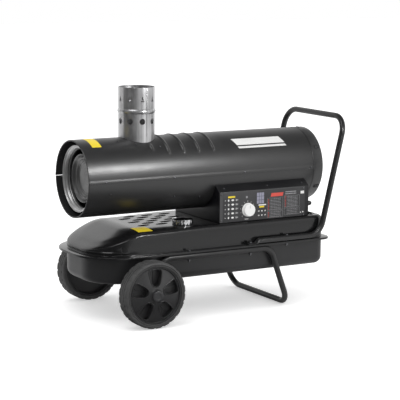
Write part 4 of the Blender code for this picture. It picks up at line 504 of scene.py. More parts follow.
def cut_across(bm, places, normal):
    """Cut a mesh by parallel planes, so that it has edges there to move."""
    for place in places:
        cut_plane(bm, Vector(normal) * place, normal)


def gather(*parts):
    """Several bmeshes as one."""
    whole = bmesh.new()
    for part in parts:
        loose = bpy.data.meshes.new("loose")
        part.to_mesh(loose)
        part.free()
        whole.from_mesh(loose)
        bpy.data.meshes.remove(loose)
    return whole


def as_object(bm, name):
    """Hand a mesh over to a new object."""
    data = bpy.data.meshes.new(name)
    bm.to_mesh(data)
    bm.free()
    return placed(name, data)


def evaluated(made):
    """The shape of an object after its modifiers, as a bmesh; the object is then removed."""
    now = made.evaluated_get(bpy.context.evaluated_depsgraph_get())
    bm = bmesh.new()
    bm.from_mesh(now.to_mesh())
    now.to_mesh_clear()
    bpy.data.objects.remove(made)
    return bm


def carved(bm, tool, operation="DIFFERENCE"):
    """One exact Boolean, applied at once."""
    target, cutter = as_object(bm, "target"), as_object(tool, "cutter")
    step = target.modifiers.new("carve", "BOOLEAN")
    step.operation, step.solver, step.object = operation, "EXACT", cutter
    result = evaluated(target)
    bpy.data.objects.remove(cutter)
    return result


def bent(corners, radius):
    """Round the inner corners of a route."""
    points = [Vector(corners[0])]
    for before, corner, after in zip(corners, corners[1:], corners[2:]):
        corner = Vector(corner)
        behind, ahead = (Vector(before) - corner).normalized(), (Vector(after) - corner).normalized()
        half = behind.angle(ahead) / 2
        middle = corner + (behind + ahead).normalized() * (radius / math.sin(half))
        reach = radius / math.tan(half)
        start, end = ((corner + way * reach - middle).normalized() for way in (behind, ahead))
        points += [middle + start.slerp(end, step / 10) * radius for step in range(11)]
    return points + [Vector(corners[-1])]


def tube(points, radius, sides, cyclic=False):
    """A round tube along a route: a curve with a bevel, made into a mesh."""
    curve = bpy.data.curves.new("route", "CURVE")
    curve.dimensions, curve.bevel_depth, curve.use_fill_caps = "3D", radius, True
    curve.bevel_resolution = sides // 2 - 2
    spline = curve.splines.new("POLY")
    spline.points.add(len(points) - 1)
    spline.use_cyclic_u = cyclic
    for entry, point in zip(spline.points, points):
        entry.co = (*point, 1.0)
    return evaluated(placed("route", curve))


def piece(name, bm, finish, stands_for=(), sharp=30, body="chassis"):
    """Make a bmesh an object of the model; edges that turn more than sharp degrees stay crisp."""
    bmesh.ops.remove_doubles(bm, verts=bm.verts, dist=WELD)
    made = as_object(bm, name)
    made.data.shade_smooth()
    made.data.set_sharp_from_angle(angle=math.radians(sharp))
    made.data.materials.append(finish.material)
    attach(made, body)
    if stands_for:
        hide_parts(*([stands_for] if isinstance(stands_for, str) else stands_for))
    print(name, len(made.data.polygons), "faces")
    return made


# %% [markdown]
# ## Floor
# The floor is white paper that still takes the object's shadow. For the camera it is lifted
# to the white of the backdrop. In reflections it is white too, but for the part between the
# object and the camera, which lies in the dim half of the studio.
# %% Floor
floor_mesh = bmesh.new()
bmesh.ops.create_grid(floor_mesh, x_segments=1, y_segments=1, size=20.0)
floor = as_object(floor_mesh, "studio_floor")
floor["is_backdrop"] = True
PAPER, DIM_PAPER = (0.93, 0.93, 0.93), (0.06, 0.06, 0.06)
paper = moulded("floor_paper", PAPER, 0.9, 40.0, 0.00001, 0.0)
seen_by_camera = paper.node("ShaderNodeLightPath", out="Is Camera Ray")
far_off = paper.node("ShaderNodeVectorMath", {0: paper.place}, out="Value", operation="LENGTH")
lift = paper.ramp(far_off / 4.0, (0.15, 0.42), (0.45, 0.5))
paper.feed("Emission Color", paper.mix(seen_by_camera, (0.0, 0.0, 0.0), lift))
mirror_ray = paper.node("ShaderNodeLightPath", out="Is Glossy Ray")
ahead = paper.axis("X") * CAMERA_SIDE[0] + paper.axis("Y") * CAMERA_SIDE[1]
aside = paper.axis("X") * -CAMERA_SIDE[1] + paper.axis("Y") * CAMERA_SIDE[0]
shaded = paper.ramp(ahead, (0.08, 0.0), (0.32, 1.0))
shaded = shaded * paper.ramp(aside + 0.5, (0.75, 1.0), (1.0, 0.0))
paper.feed("Base Color", paper.mix(mirror_ray * shaded, PAPER, DIM_PAPER))
paper.shader.inputs["Emission Strength"].default_value = 1.0
floor.data.materials.append(paper.material)
print("floor reaches", [round(c, 1) for c in floor.dimensions])

# %% [markdown]
# ## Fuel tank
# The tank is a deep-drawn steel tray with a flange round its rim. The real one is one press
# stroke: flat bottom, generous fillet, upright wall. A beveled block gives the same shape.
# Its open rim is then bridged to the flange's outline, and the sheet gets its thickness.
# %% Tank shell
FRONT_X, FLANGE_REAR_X, FLANGE_Y = -0.4875, 0.4305, 0.188
WALL_FRONT_X, WALL_REAR_X, WALL_Y = -0.4595, 0.4135, 0.165
FRONT_CORNER, REAR_CORNER = 0.128, 0.034
FLANGE_FRONT_CORNER, FLANGE_REAR_CORNER = 0.152, 0.042
TANK_Z, FLANGE_Z, LID_Z, COVER_Z = 0.129, 0.218, 0.2246, 0.3
TANK_SHEET, COVER_SHEET = 0.0012, 0.0016


def walls(low, high):
    """The block that the tank's or the cover's wall is pressed from."""
    return tray((WALL_FRONT_X, -WALL_Y, low), (WALL_REAR_X, WALL_Y, high), FRONT_CORNER, REAR_CORNER)


def opened(bm, height):
    """Take away the flat faces at a height, so that the edges round them become a rim."""
    flat = [f for f in bm.faces if all(abs(v.co.z - height) < NEAR for v in f.verts)]
    bmesh.ops.delete(bm, geom=flat, context="FACES")
    return bm


def flanged(bm, inset, low, high, join):
    """Bridge a pressing's open rim to an upright band that follows the flange's outline."""
    own = len(bm.edges)
    band = tray((FRONT_X + inset, -FLANGE_Y + inset, low), (FLANGE_REAR_X - inset, FLANGE_Y - inset, high),
                FLANGE_FRONT_CORNER - inset, FLANGE_REAR_CORNER - inset)
    bm = gather(bm, opened(opened(band, low), high))
    bm.edges.index_update()
    rim = [e for e in bm.edges if e.is_boundary and e.index < own]
    lip = [e for e in rim_edges(bm, join) if e.index >= own]
    bmesh.ops.bridge_loops(bm, edges=rim + lip)
    return bm


def sheet(bm, thickness, side):
    """Give an open skin its thickness inwards; side is the way its outermost face looks."""
    side = Vector(side)
    outward(bm)
    far = max(bm.faces, key=lambda face: face.calc_center_median().dot(side))
    if far.normal.dot(side) < 0:
        bmesh.ops.reverse_faces(bm, faces=bm.faces)
    bmesh.ops.solidify(bm, geom=list(bm.faces), thickness=thickness)
    return bm


tank = opened(walls(TANK_Z, FLANGE_Z), FLANGE_Z)
bevel(tank, rim_edges(tank, TANK_Z), 0.026, 8)
tank = flanged(tank, 0.0024, FLANGE_Z, FLANGE_Z + 0.0005, FLANGE_Z)
DRAIN, DRAIN_R, BOSS_TOP = (0.33, 0.0, 0.0), 0.0073, 0.14
drain_boss = lathe([(DRAIN_R, 0.1292), (0.0085, 0.1292), (0.012, 0.1304), (0.012, BOSS_TOP - 0.0008),
                    (0.0112, BOSS_TOP), (DRAIN_R, BOSS_TOP)], 48, DRAIN, closed=True)
drain_hole = plug(DRAIN_R + 0.0003, TANK_Z - 0.009, BOSS_TOP + 0.01, 48, DRAIN)
tank = carved(outward(sheet(tank, TANK_SHEET, (0, 0, -1))), drain_hole)
piece("tank_tray", gather(tank, drain_boss), tank_paint, "fuel_tank_shell", 45)

# %% [markdown]
# ## Slotted cover
# A thinner pressing closes the tank's top and keeps the drum's heat off the fuel. Its front
# slopes down like a nose, almost to the flange. The slope is made after the rim is rounded, by
# cutting the block across at the bend and lowering what lies ahead, so that the rounded
# shoulder follows. The top is crowned: it falls softly toward the walls, which gives the nose
# its dark edge. A low bead runs round the foot of the nose.
# %% Cover
BEND_X, BEND_SOFT, NOSE_HEIGHT = -0.3115, 0.022, 0.018
SLOPE = (COVER_Z - LID_Z - NOSE_HEIGHT) / (BEND_X - WALL_FRONT_X)
SHOULDER, CROWN_DROP, CROWN_STEP, CROWN_RINGS = 0.015, 0.008, 0.009, 5
CROWN_WIDE = SHOULDER + CROWN_STEP * CROWN_RINGS
CROWN_FADE, CROWN_END = -0.25, -0.07
BEAD_LOW, BEAD_HIGH, BEAD_SIDE, BEAD_OUT = 0.231, 0.2382, 0.0024, 0.0018
BEAD_END, BEAD_FADE = -0.345, 0.055


def from_wall(x, y):
    """How far a place on the cover lies inside its front and side walls."""
    ahead, aside = WALL_FRONT_X + FRONT_CORNER - x, abs(y) - (WALL_Y - FRONT_CORNER)
    if ahead > 0.0 and aside > 0.0:
        return FRONT_CORNER - math.hypot(ahead, aside)
    return FRONT_CORNER - max(ahead, aside)


def crowned(bm):
    """Let the top fall softly toward the walls; this fades out toward the control box."""
    for vert in bm.verts:
        rise = clamped((vert.co.z - COVER_Z) / SHOULDER + 1.0)
        near = max(0.0, 1.0 - from_wall(vert.co.x, vert.co.y) / CROWN_WIDE)
        along = clamped((CROWN_END - vert.co.x) / (CROWN_END - CROWN_FADE))
        vert.co.z -= CROWN_DROP * near * near * rise * along
    return bm


def nosed(bm):
    """Lower what lies ahead of the bend; the wall under the shoulder is shortened."""
    cut_across(bm, [BEND_X + BEND_SOFT * (cut / 4 - 1) for cut in range(9)], (1, 0, 0))
    for vert in bm.verts:
        ahead = BEND_X + BEND_SOFT - vert.co.x
        if ahead > 0.0 and vert.co.z > LID_Z:
            eased = ahead * ahead / (4 * BEND_SOFT) if ahead < 2 * BEND_SOFT else ahead - BEND_SOFT
            share = min(1.0, (vert.co.z - LID_Z) / (COVER_Z - COVER_SHEET - LID_Z))
            vert.co.z -= SLOPE * eased * share
    return bm


cover = opened(walls(LID_Z, COVER_Z), LID_Z)
bevel(cover, rim_edges(cover, COVER_Z), SHOULDER, 6)
for ring in range(CROWN_RINGS):
    flat = [max((f for f in cover.faces if f.normal.z > 0.99), key=lambda f: f.calc_area())]
    bmesh.ops.inset_region(cover, faces=flat, thickness=CROWN_STEP)
cut_across(cover, (CROWN_FADE, -0.19, -0.13, CROWN_END), (1, 0, 0))
cover = nosed(crowned(cover))
for edge, way in ((BEAD_LOW, 1), (BEAD_HIGH, -1)):
    cut_across(cover, [edge + way * BEAD_SIDE * step / 2 for step in range(3)], (0, 0, 1))
cut_across(cover, (BEAD_END, -0.36, -0.375, -0.39, BEAD_END - BEAD_FADE), (1, 0, 0))
cover.normal_update()
for vert in cover.verts:
    raised = min(1.0, (vert.co.z - BEAD_LOW) / BEAD_SIDE, (BEAD_HIGH - vert.co.z) / BEAD_SIDE,
                 (BEAD_END - vert.co.x) / BEAD_FADE)
    if abs(vert.normal.z) < 0.5 and raised > 0.0:
        vert.co += Vector((vert.normal.x, vert.normal.y, 0.0)).normalized() * BEAD_OUT * raised
cover = flanged(cover, 0.0, FLANGE_Z, LID_Z, LID_Z)
bmesh.ops.recalc_face_normals(cover, faces=cover.faces)
bevel(cover, [e for e in rim_edges(cover, LID_Z) if e.calc_face_angle(0) > 1.0], 0.0016, 3)
cover = sheet(cover, COVER_SHEET, (0, 0, 1))
print("cover top at", round(max(v.co.z for v in cover.verts), 5))

# %% [markdown]
# The vent slots are lens-shaped, in staggered rows under the drum, and each has a low pressed
# hood that opens toward the panel side. All the slots and the filler's hole are cut together:
# one cutter holds them all, so a single Boolean does the work.
# %% Vent slots
SLOT_LONG, SLOT_WIDE, SLOT_STEP_X, SLOT_STEP_Y = 0.042, 0.0075, 0.068, 0.034


def slot_shape(x, y):
    """The cutter of one lens-shaped slot."""
    bm = bmesh.new()
    bmesh.ops.create_circle(bm, cap_ends=True, radius=0.5, segments=20)
    bmesh.ops.scale(bm, vec=(SLOT_LONG, SLOT_WIDE, 1.0), verts=bm.verts)
    bmesh.ops.translate(bm, vec=(x, y, COVER_Z - 0.006), verts=bm.verts)
    return extruded(bm, (0, 0, 0.01))


def slot_hood(x, y):
    """A quarter of a flat ball, as thin sheet."""
    hood = bmesh.new()
    bmesh.ops.create_uvsphere(hood, u_segments=32, v_segments=16, radius=1.0)
    bmesh.ops.scale(hood, vec=(SLOT_LONG / 2 + 0.002, 0.015, 0.0026), verts=hood.verts)
    for normal in ((0, 0, -1), (0, -1, 0)):
        cut_plane(hood, (0, 0, 0), normal, dist=0.000001, clear_outer=True)
    hood = sheet(hood, 0.0008, (0, 0, 1))
    bmesh.ops.translate(hood, vec=(x, y - 0.0062, COVER_Z - 0.0002), verts=hood.verts)
    return hood


slot_places = [(-0.2415 + SLOT_STEP_X * place + SLOT_STEP_X / 2 * (row % 2), -0.056 + SLOT_STEP_Y * row)
               for row in range(6) for place in range(3)]
FILLER = (-0.113, -0.094, 0.0)
neck_hole = plug(0.0258, COVER_Z - 0.02, COVER_Z + 0.01, 64, FILLER)
cover = carved(cover, outward(gather(neck_hole, *[slot_shape(x, y) for x, y in slot_places])))
piece("slotted_cover", gather(cover, *[slot_hood(x, y) for x, y in slot_places]), cover_paint,
      "tank_cover")

# %% [markdown]
# ## Drum
# The drum is two half shells of rolled sheet that overlap at a seam just below the axis.
# Spinning a line of stations half a turn makes each shell; the beads are then raised by
# moving the stations outward, with a smooth fade where each bead ends.
# %% Drum shells
DRUM_FRONT, COLLAR_X, DRUM_REAR, DRUM_SHEET = -0.4715, 0.3862, 0.4265, 0.0012
FLUE_X, FLUE_R, FLUE_TOP = -0.236, 0.06, 0.753
SEAM = math.degrees(math.asin(0.003 / DRUM_R))
BEADS = [(-0.221, 44.0, 62.0)] + [(-0.165 + 0.056 * k, 37.0, 143.0) for k in range(4)]
BEAD_HALF, BEAD_UP, FADE = 0.007, 0.0029, 7.0
hem = shifted([(0.005, -0.0042), (0.0012, -0.0044), (0.0, -0.003), (0.0004, -0.001), (0.002, 0.0)],
              DRUM_FRONT, DRUM_R)


def angle_of(vert):
    """Degrees above the panel side, seen along the axis."""
    return math.degrees(math.atan2(vert.co.z - AXIS_Z, -vert.co.y))


def shell_of(start, end, stations, steps):
    """Spin a line of (x, radius) stations round the drum's axis from one angle to another."""
    bm = bmesh.new()
    first = math.radians(start)
    verts = [bm.verts.new((x, -radius * math.cos(first), AXIS_Z + radius * math.sin(first)))
             for x, radius in stations]
    edges = [bm.edges.new(pair) for pair in zip(verts, verts[1:])]
    bmesh.ops.spin(bm, geom=verts + edges, cent=(0, 0, AXIS_Z), axis=(1, 0, 0),
                   angle=-math.radians(end - start), steps=steps)
    return bm


def rolled(start, end, places, steps):
    """A shell with the drum's hem, that ends where the collar grips it."""
    places = [*places, COLLAR_X - 0.0005]
    return shell_of(start, end, hem + [(x, DRUM_R) for x in places], steps)


def drum_cutter(low, high):
    """A cylinder just wider than the drum, to fit other pieces to it."""
    return plug(DRUM_R + 0.0003, low, high, 192, (0, 0, AXIS_Z), "X")


straight = [DRUM_FRONT + 0.02, -0.4, -0.33, -0.28, -0.245]
for bead_x, *_ in BEADS:
    straight += [bead_x + BEAD_HALF * k / 10 for k in range(-10, 11, 2)]
upper = rolled(-SEAM, 180.0 + SEAM, straight + [0.05, 0.12, 0.2, 0.28, 0.34], 120)
for vert in upper.verts:
    angle, spoke = angle_of(vert), Vector((0, vert.co.y, vert.co.z - AXIS_Z)).normalized()
    angle = angle if angle > -90.0 else angle + 360.0
    from_top = abs(angle - 90.0)
    for bead_x, low, high in BEADS:
        inner, outer = (90.0 - high if high < 90.0 else 0.0), 90.0 - low
        fade = clamped((outer - from_top) / FADE) * clamped((from_top - inner) / FADE + (inner == 0.0))
        across = (vert.co.x - bead_x) / BEAD_HALF
        if abs(across) < 1.0:
            vert.co += spoke * BEAD_UP * fade ** 0.5 * (0.5 + 0.5 * math.cos(across * math.pi))
    lap = clamped((4.0 - min(abs(angle + SEAM), abs(angle - 180.0 - SEAM))) / 0.8)
    vert.co += spoke * 0.0014 * lap
upper = carved(sheet(upper, DRUM_SHEET, (0, 0, 1)), plug(0.0588, 0.55, 0.62, 72, (FLUE_X, 0, 0)))
piece("drum_top", upper, drum_paint, "drum_upper_shell")
lower = rolled(-SEAM - 0.25, -180.0 + SEAM + 0.7, (-0.4, -0.1, 0.2), 90)
piece("drum_bottom", sheet(lower, DRUM_SHEET, (0, 0, -1)), drum_paint, "drum_lower_shell")

# %% [markdown]
# The collar closes the drum's rear end. Behind it sits a grille of wire: rings welded on
# radial wires, which keeps fingers away from the fan.
# %% Collar and guard
collar = shifted([(-0.0036, -0.014), (-0.0021, -0.014), (-0.0021, 0.0), (0.0, 0.0006), (0.0006, 0.003),
                  (0.0, 0.006)], DRUM_R, COLLAR_X)
collar += shifted([(0.0, -0.004), (-0.0012, -0.0008), (-0.003, 0.0), (-0.0045, -0.001), (-0.0045, -0.004),
                   (-0.0036, -0.0045)], DRUM_R, DRUM_REAR)
piece("collar", round_axis(collar, 144, closed=True), drum_paint, "rear_collar")


def hoop(radius, x, wire):
    """A ring of wire round the drum's axis."""
    points = [(x, radius * math.cos(t), AXIS_Z + radius * math.sin(t))
              for t in (2 * math.pi * k / 72 for k in range(72))]
    return tube(points, wire, 8, cyclic=True)


wires = [hoop(radius, 0.4205, 0.0012) for radius in (0.0205, 0.034, 0.0475, 0.061, 0.0745, 0.088, 0.1015)]
wires.append(hoop(0.1195, 0.42, 0.002))
middle = Vector((0.4188, 0, AXIS_Z))
for spoke in range(8):
    turn = 2 * math.pi * spoke / 8
    ray = Vector((0, math.cos(turn), math.sin(turn)))
    wires.append(tube([middle + ray * reach for reach in (0.012, 0.12)], 0.0014, 8))
wires.append(round_axis([(0.0, 0.4182), (0.017, 0.4182), (0.018, 0.419), (0.018, 0.4206), (0.016, 0.4214),
                         (0.0, 0.4214)], 48))
piece("guard_wires", outward(gather(*wires)), tube_paint, "rear_guard", 38)

# %% [markdown]
# ## Flue
# The flue is a length of galvanised pipe with a rolled bead, a row of air holes below it
# and small pressed tabs above it. Its foot is cut to the drum's curve, which is what a
# Boolean with a cylinder does.
# %% Flue pipe
AROUND = [-98.6 + 40.0 * place for place in range(9)]
HOLE_Z, TAB_Z, TAB = 0.642, 0.7155, ((0, -0.0062, -0.009), (0, 0.0062, -0.009), (0, 0.0, 0.0095))
bead = [(FLUE_R + 0.003 * math.sin(math.pi * k / 8), 0.6665 + 0.015 * k / 8) for k in range(9)]
top_edge = shifted([(0.0, -0.0003), (-0.0003, 0.0), (-0.0009, 0.0), (-0.0012, -0.0003)], FLUE_R, FLUE_TOP)
flue = lathe([(FLUE_R - 0.0012, 0.53), (FLUE_R, 0.53)] + bead + top_edge, 96, (FLUE_X, 0, 0), closed=True)
flue = carved(flue, drum_cutter(-0.45, 0.0))


def round_flue(degrees, reach, height):
    """The place and turn of something on the flue's wall."""
    turn = math.radians(degrees)
    return (Matrix.Translation((FLUE_X, 0, height)) @ Matrix.Rotation(turn, 4, "Z")
            @ Matrix.Translation((reach, 0, 0)))


punches = [moved(plug(0.0098, 0.0, 0.008, 32), round_flue(degrees, FLUE_R - 0.004, HOLE_Z) @ TURN["X"])
           for degrees in AROUND]
tabs = []
for degrees in AROUND:
    punches.append(outward(moved(prism(TAB, (0.008, 0, 0)), round_flue(degrees, FLUE_R - 0.004, TAB_Z))))
    flap = prism(TAB, (0.0008, 0, 0))
    bmesh.ops.scale(flap, vec=(1.0, 0.8, 0.85), verts=flap.verts)
    bent_in = Matrix.Rotation(math.radians(-26), 4, "Y")
    tabs.append(outward(moved(flap, round_flue(degrees, FLUE_R - 0.006, TAB_Z) @ bent_in)))
flue = carved(flue, gather(*punches))
lock_seam = block((-0.0012, -0.0016, 0.592), (0.0009, 0.0016, FLUE_TOP - 0.001), 0.0005)
lock_seam = moved(lock_seam, round_flue(-83.0, FLUE_R, 0.0))
piece("flue", gather(flue, *tabs, outward(lock_seam)), galvanised, "flue_pipe")

# %% [markdown]
# ## Heat exchanger
# Looking into the outlet shows two things: a hollow ring that carries the burnt gas, and
# the closed end of the combustion chamber in the middle. Fresh air comes out round them.
# Both are spun from sheet, so both are lathe work.
# %% Ring and chamber
RING_X, RING_END, CHAMBER_X, CHAMBER_END = -0.4545, 0.0455, -0.4355, 0.0795
ring_nose = [(0.108 + 0.002 * math.cos(a), RING_X + 0.002 + 0.002 * math.sin(a))
             for a in (math.radians(-30 * k) for k in range(7))]
ring_nose += shifted([(0.1056, 0.0034), (0.1034, 0.0052), (0.1022, 0.0052), (0.1008, 0.006),
                      (0.099, 0.0085)], 0.0, RING_X)
hoops = [(0.098 - 0.0016 * math.sin(math.pi * k / 8), RING_X + start + 0.0055 * k / 8)
         for start in (0.0105, 0.0175) for k in range(9)]
ring = round_axis([(0.11, RING_END)] + ring_nose + hoops + [(0.098, RING_END)], 120, closed=True)
stub = pipe(0.0573, 0.0585, 0.56, 0.61, 72, (FLUE_X, 0, 0))
piece("gas_ring", gather(ring, stub), ring_steel, "heat_exchanger_ring")

dish = shifted([(0.0, 0.018), (0.048, 0.018), (0.05, 0.0176), (0.0512, 0.0164), (0.0528, 0.0158),
                (0.0544, 0.0164), (0.056, 0.0164), (0.061, 0.0128), (0.063, 0.0106), (0.065, 0.0102),
                (0.0668, 0.0106), (0.069, 0.0092), (0.073, 0.005), (0.0752, 0.0016), (0.0768, 0.0004),
                (0.078, 0.0), (0.0792, 0.0005), (0.08, 0.002), (0.08, 0.022), (0.0812, 0.024),
                (0.08, 0.026)], 0.0, CHAMBER_X)
dish_back = shifted([(0.078, 0.006), (0.076, 0.0052), (0.069, 0.0128), (0.06, 0.0172), (0.05, 0.0204),
                     (0.0, 0.0206)], 0.0, CHAMBER_X)
chamber = round_axis(dish + [(0.08, CHAMBER_END), (0.078, CHAMBER_END)] + dish_back, 120)
ducts = []
for angle in (-150.0, -30.0, 90.0):
    turn = Matrix.Rotation(math.radians(angle - 90.0), 4, "X")
    ducts.append(moved(pipe(0.0128, 0.014, 0.079, 0.0975, 40),
                       Matrix.Translation((CHAMBER_X + 0.06, 0, AXIS_Z)) @ turn))
piece("chamber", gather(chamber, *ducts), disc_steel, "combustion_chamber")

# %% [markdown]
# ## Wheels
# A moulded hub with five closed pockets carries a rubber tyre. The hub is dished: its web
# rises from the rim to a boss that stands proud. It is turned first and the pockets are
# sunk after. A thin round lip is laid along each mouth, as moulded edges are never sharp.
# %% Wheels
WHEEL_X, WHEEL_Z, WHEEL_R, TYRE_OUT, BORE_R = -0.3005, 0.109, 0.109, 0.262, 0.0063
TYRE_IN, SEAT_R = TYRE_OUT - 0.056, WHEEL_R - 0.0152
RIM_R = SEAT_R - 0.0003
WEB_R, BOSS_R, BOSS_END = RIM_R - 0.0055, 0.021, TYRE_OUT + 0.005


def web_at(radius):
    """How far out the dished web is at a radius."""
    return TYRE_OUT - 0.009 + 0.01 * (WEB_R - radius) / (WEB_R - BOSS_R)


def pocket_route():
    """The rounded outline of one petal-shaped pocket, as points in the wheel's plane."""
    halves = ((0.01, 0.03), (0.017, 0.045), (0.0208, 0.06), (0.0232, 0.074), (0.0235, 0.0845))
    side = [(half, math.sqrt(radius ** 2 - half ** 2)) for half, radius in halves]
    top = [(0.0845 * math.sin(a), 0.0845 * math.cos(a)) for a in (0.282 * (1 - k / 4) for k in range(1, 8))]
    points = [Vector((u, 0.0, v)) for u, v in side + top + [(-u, v) for u, v in reversed(side)]]
    rounded = []
    for index, point in enumerate(points):
        before, after = points[index - 1] - point, points[(index + 1) % len(points)] - point
        if before.angle(after) < math.radians(140):
            start, end = (point + way.normalized() * min(0.009, way.length * 0.9) for way in (before, after))
            rounded += [start.lerp(point, share).lerp(point.lerp(end, share), share)
                        for share in (k / 6 for k in range(7))]
        else:
            rounded.append(point)
    return rounded


def tyre_body():
    """A tyre at the origin, with +Y outward: grooved all round, with lugs at both shoulders."""
    tread = shifted([(-0.0075, 0.0), (-0.003, 0.0015), (-0.0006, 0.005), (0.0, 0.01), (0.0, 0.015),
                     (-0.0026, 0.0158), (-0.0026, 0.018), (0.0, 0.0188), (0.0, 0.0264), (-0.0022, 0.027)],
                    WHEEL_R, TYRE_IN)
    tread += [(radius, TYRE_IN + TYRE_OUT - across) for radius, across in reversed(tread)]
    wall = shifted([(0.0065, -0.0004), (0.0055, -0.002), (0.0035, -0.0022), (0.002, -0.0004), (0.0, -0.0012)],
                   SEAT_R, TYRE_OUT)
    seat = shifted([(0.0, 0.0012), (0.004, 0.0)], SEAT_R, TYRE_IN)
    tyre = lathe(seat + tread + wall, 192, axis="Y", closed=True)
    for vert in tyre.verts:
        radius = math.hypot(vert.co.x, vert.co.z)
        column = round(math.degrees(math.atan2(vert.co.z, vert.co.x)) / 1.875)
        shoulder = abs(vert.co.y - (TYRE_IN + TYRE_OUT) / 2) > 0.0125
        if radius > WHEEL_R - 0.0035 and column % 8 < 2 and shoulder:
            vert.co.x *= 1 - 0.0018 / radius
            vert.co.z *= 1 - 0.0018 / radius
    return outward(tyre)


def hub_body():
    """The hub at the origin: a turned body with five pockets, their lips and a rib in each."""
    inside = [(BORE_R, 0.1903), (0.0195, 0.1903), (BOSS_R, 0.192), (BOSS_R, TYRE_OUT - 0.033),
              (0.024, TYRE_OUT - 0.031), (WEB_R - 0.003, TYRE_OUT - 0.031), (WEB_R, TYRE_OUT - 0.033)]
    rim = [(WEB_R, TYRE_IN + 0.005), (WEB_R + 0.0012, TYRE_IN + 0.004), (RIM_R - 0.001, TYRE_IN + 0.004),
           (RIM_R, TYRE_IN + 0.0052), (RIM_R, TYRE_OUT - 0.0052), (RIM_R - 0.0012, TYRE_OUT - 0.004),
           (WEB_R + 0.0014, TYRE_OUT - 0.0042), (WEB_R + 0.0002, TYRE_OUT - 0.0056)]
    web = [(WEB_R - 0.0006, web_at(WEB_R) - 0.0002), (WEB_R - 0.002, web_at(WEB_R - 0.002)),
           (0.026, web_at(0.026)), (0.0225, web_at(0.026) + 0.0012),
           (BOSS_R, BOSS_END - 0.0012), (BOSS_R - 0.0012, BOSS_END), (BORE_R, BOSS_END)]
    hub = lathe(inside + rim + web, 120, axis="Y", closed=True)
    cutters, lips = [], []
    for pocket in range(5):
        turn = Matrix.Rotation(2 * math.pi * pocket / 5, 4, "Y")
        sink = turn @ Matrix.Translation((0, TYRE_OUT - 0.027, 0))
        cutters.append(moved(prism(pocket_route(), (0, 0.04, 0)), sink))
        mouth = [turn @ Vector((p.x, web_at(p.length), p.z)) for p in pocket_route()]
        lips.append(tube(mouth, 0.0017, 8, cyclic=True))
        rib = [turn @ Vector((0, TYRE_OUT - 0.0268, reach)) for reach in (0.034, 0.08)]
        lips.append(tube(rib, 0.0012, 8))
    return gather(carved(hub, outward(gather(*cutters))), outward(gather(*lips)))


def push_cap():
    """The pressed cap that holds a wheel on its axle."""
    profile = shifted([(BORE_R, 0.0), (0.0185, 0.0), (0.0185, 0.0052), (0.018, 0.007), (0.0165, 0.0084),
                       (0.014, 0.009), (0.0105, 0.009), (0.0095, 0.0084), (0.0, 0.0084), (0.0, 0.0075),
                       (BORE_R, 0.0075)], 0.0, BOSS_END + 0.0003)
    return lathe(profile, 64, axis="Y", closed=True)


for turn, label in ((math.pi, "left"), (0.0, "right")):
    move = Matrix.Translation((WHEEL_X, 0, WHEEL_Z)) @ Matrix.Rotation(turn, 4, "Z")
    for name, made, finish, node, slot, body in (
            ("tyre_tread_", tyre_body(), tyre_rubber, "tyre_", "tyre_rubber", "wheel_" + label),
            ("hub_", hub_body(), hub_plastic, "wheel_hub_", "black_plastic", "wheel_" + label),
            ("push_cap_", push_cap(), black_plastic, "hub_cap_", "black_plastic", "chassis")):
        piece(name + label, moved(made, move), finish, node + label, body=body)

# %% [markdown]
# ## Leg frame and handle
# Both are bent from the same 20 mm tube. A curve with a round bevel is the natural way to
# draw bent tube, since the bend radius is then a number, as it is on the bending machine.
# %% Tubes
TUBE_R, TUBE_Y, RAIL_Z, RAIL_X, GRIP_Z = 0.01, 0.18, 0.2077, -0.225, 0.2349
TUBE_SKIN_R = TUBE_R - 0.00005


def both_sides(side):
    """A route down the left side and back up the right one, from the (x, z) points of one side."""
    return [(x, -TUBE_Y, z) for x, z in side] + [(x, TUBE_Y, z) for x, z in reversed(side)]


axle_at = Vector((WHEEL_X, 0, WHEEL_Z))
eye = axle_at - (Vector((RAIL_X, 0, RAIL_Z)) - axle_at).normalized() * 0.013
leg_side = [(eye.x, eye.z), (RAIL_X, RAIL_Z), (0.18, RAIL_Z), (0.2535, TUBE_R)]
legs = tube(bent(both_sides(leg_side), 0.045), TUBE_SKIN_R, 24)
legs = carved(outward(legs), plug(BORE_R, -0.25, 0.25, 24, axle_at, "Y"))
piece("legs", legs, tube_paint, "leg_frame", 40)

start_x, tongue_x, full_x = 0.0885, 0.1185, 0.1335
handle_side = [(full_x, GRIP_Z), (0.381, GRIP_Z), (0.4775, 0.636)]
ends = [Vector((x, -TUBE_Y, GRIP_Z)) for x in
        (start_x, start_x + 0.01, start_x + 0.02, tongue_x, tongue_x + 0.005, tongue_x + 0.01)]
route = ends + bent(both_sides(handle_side), 0.058) + [Vector((p.x, TUBE_Y, p.z)) for p in reversed(ends)]
grip = tube(route, TUBE_SKIN_R, 24)
for vert in grip.verts:
    if vert.co.x < full_x and vert.co.z < 0.26:
        share = clamped((full_x - vert.co.x) / (full_x - tongue_x))
        share = share * share * (3 - 2 * share)
        base, side = GRIP_Z - TUBE_R, math.copysign(TUBE_Y, vert.co.y)
        vert.co.z = base + (vert.co.z - base) * (1 - share * 0.7)
        vert.co.y = side + (vert.co.y - side) * (1 + share * 0.25)
piece("push_handle", outward(grip), tube_paint, "handle", 40)

# %% [markdown]
# ## Control box
# The box is folded sheet that also carries the drum, so its top is hollowed to the drum's
# radius. Cutting a plain block with two slanted planes makes the roof, and one Boolean
# with the drum's cylinder makes the cradle.
# %% Box
BOX_X, BOX_END, BOX_Y, BOX_Z, WALL_TOP = -0.004, 0.352, 0.15, 0.3003, 0.404
PANEL_END, PANEL_Z, PANEL_FACE = 0.335, 0.3015, -0.1523
KNOB = Vector((0.105, PANEL_FACE, 0.3394))


def roof_normal(side):
    """The way the box's slanted roof faces on one side."""
    return Vector((0, side * 0.021, 0.0275)).normalized()


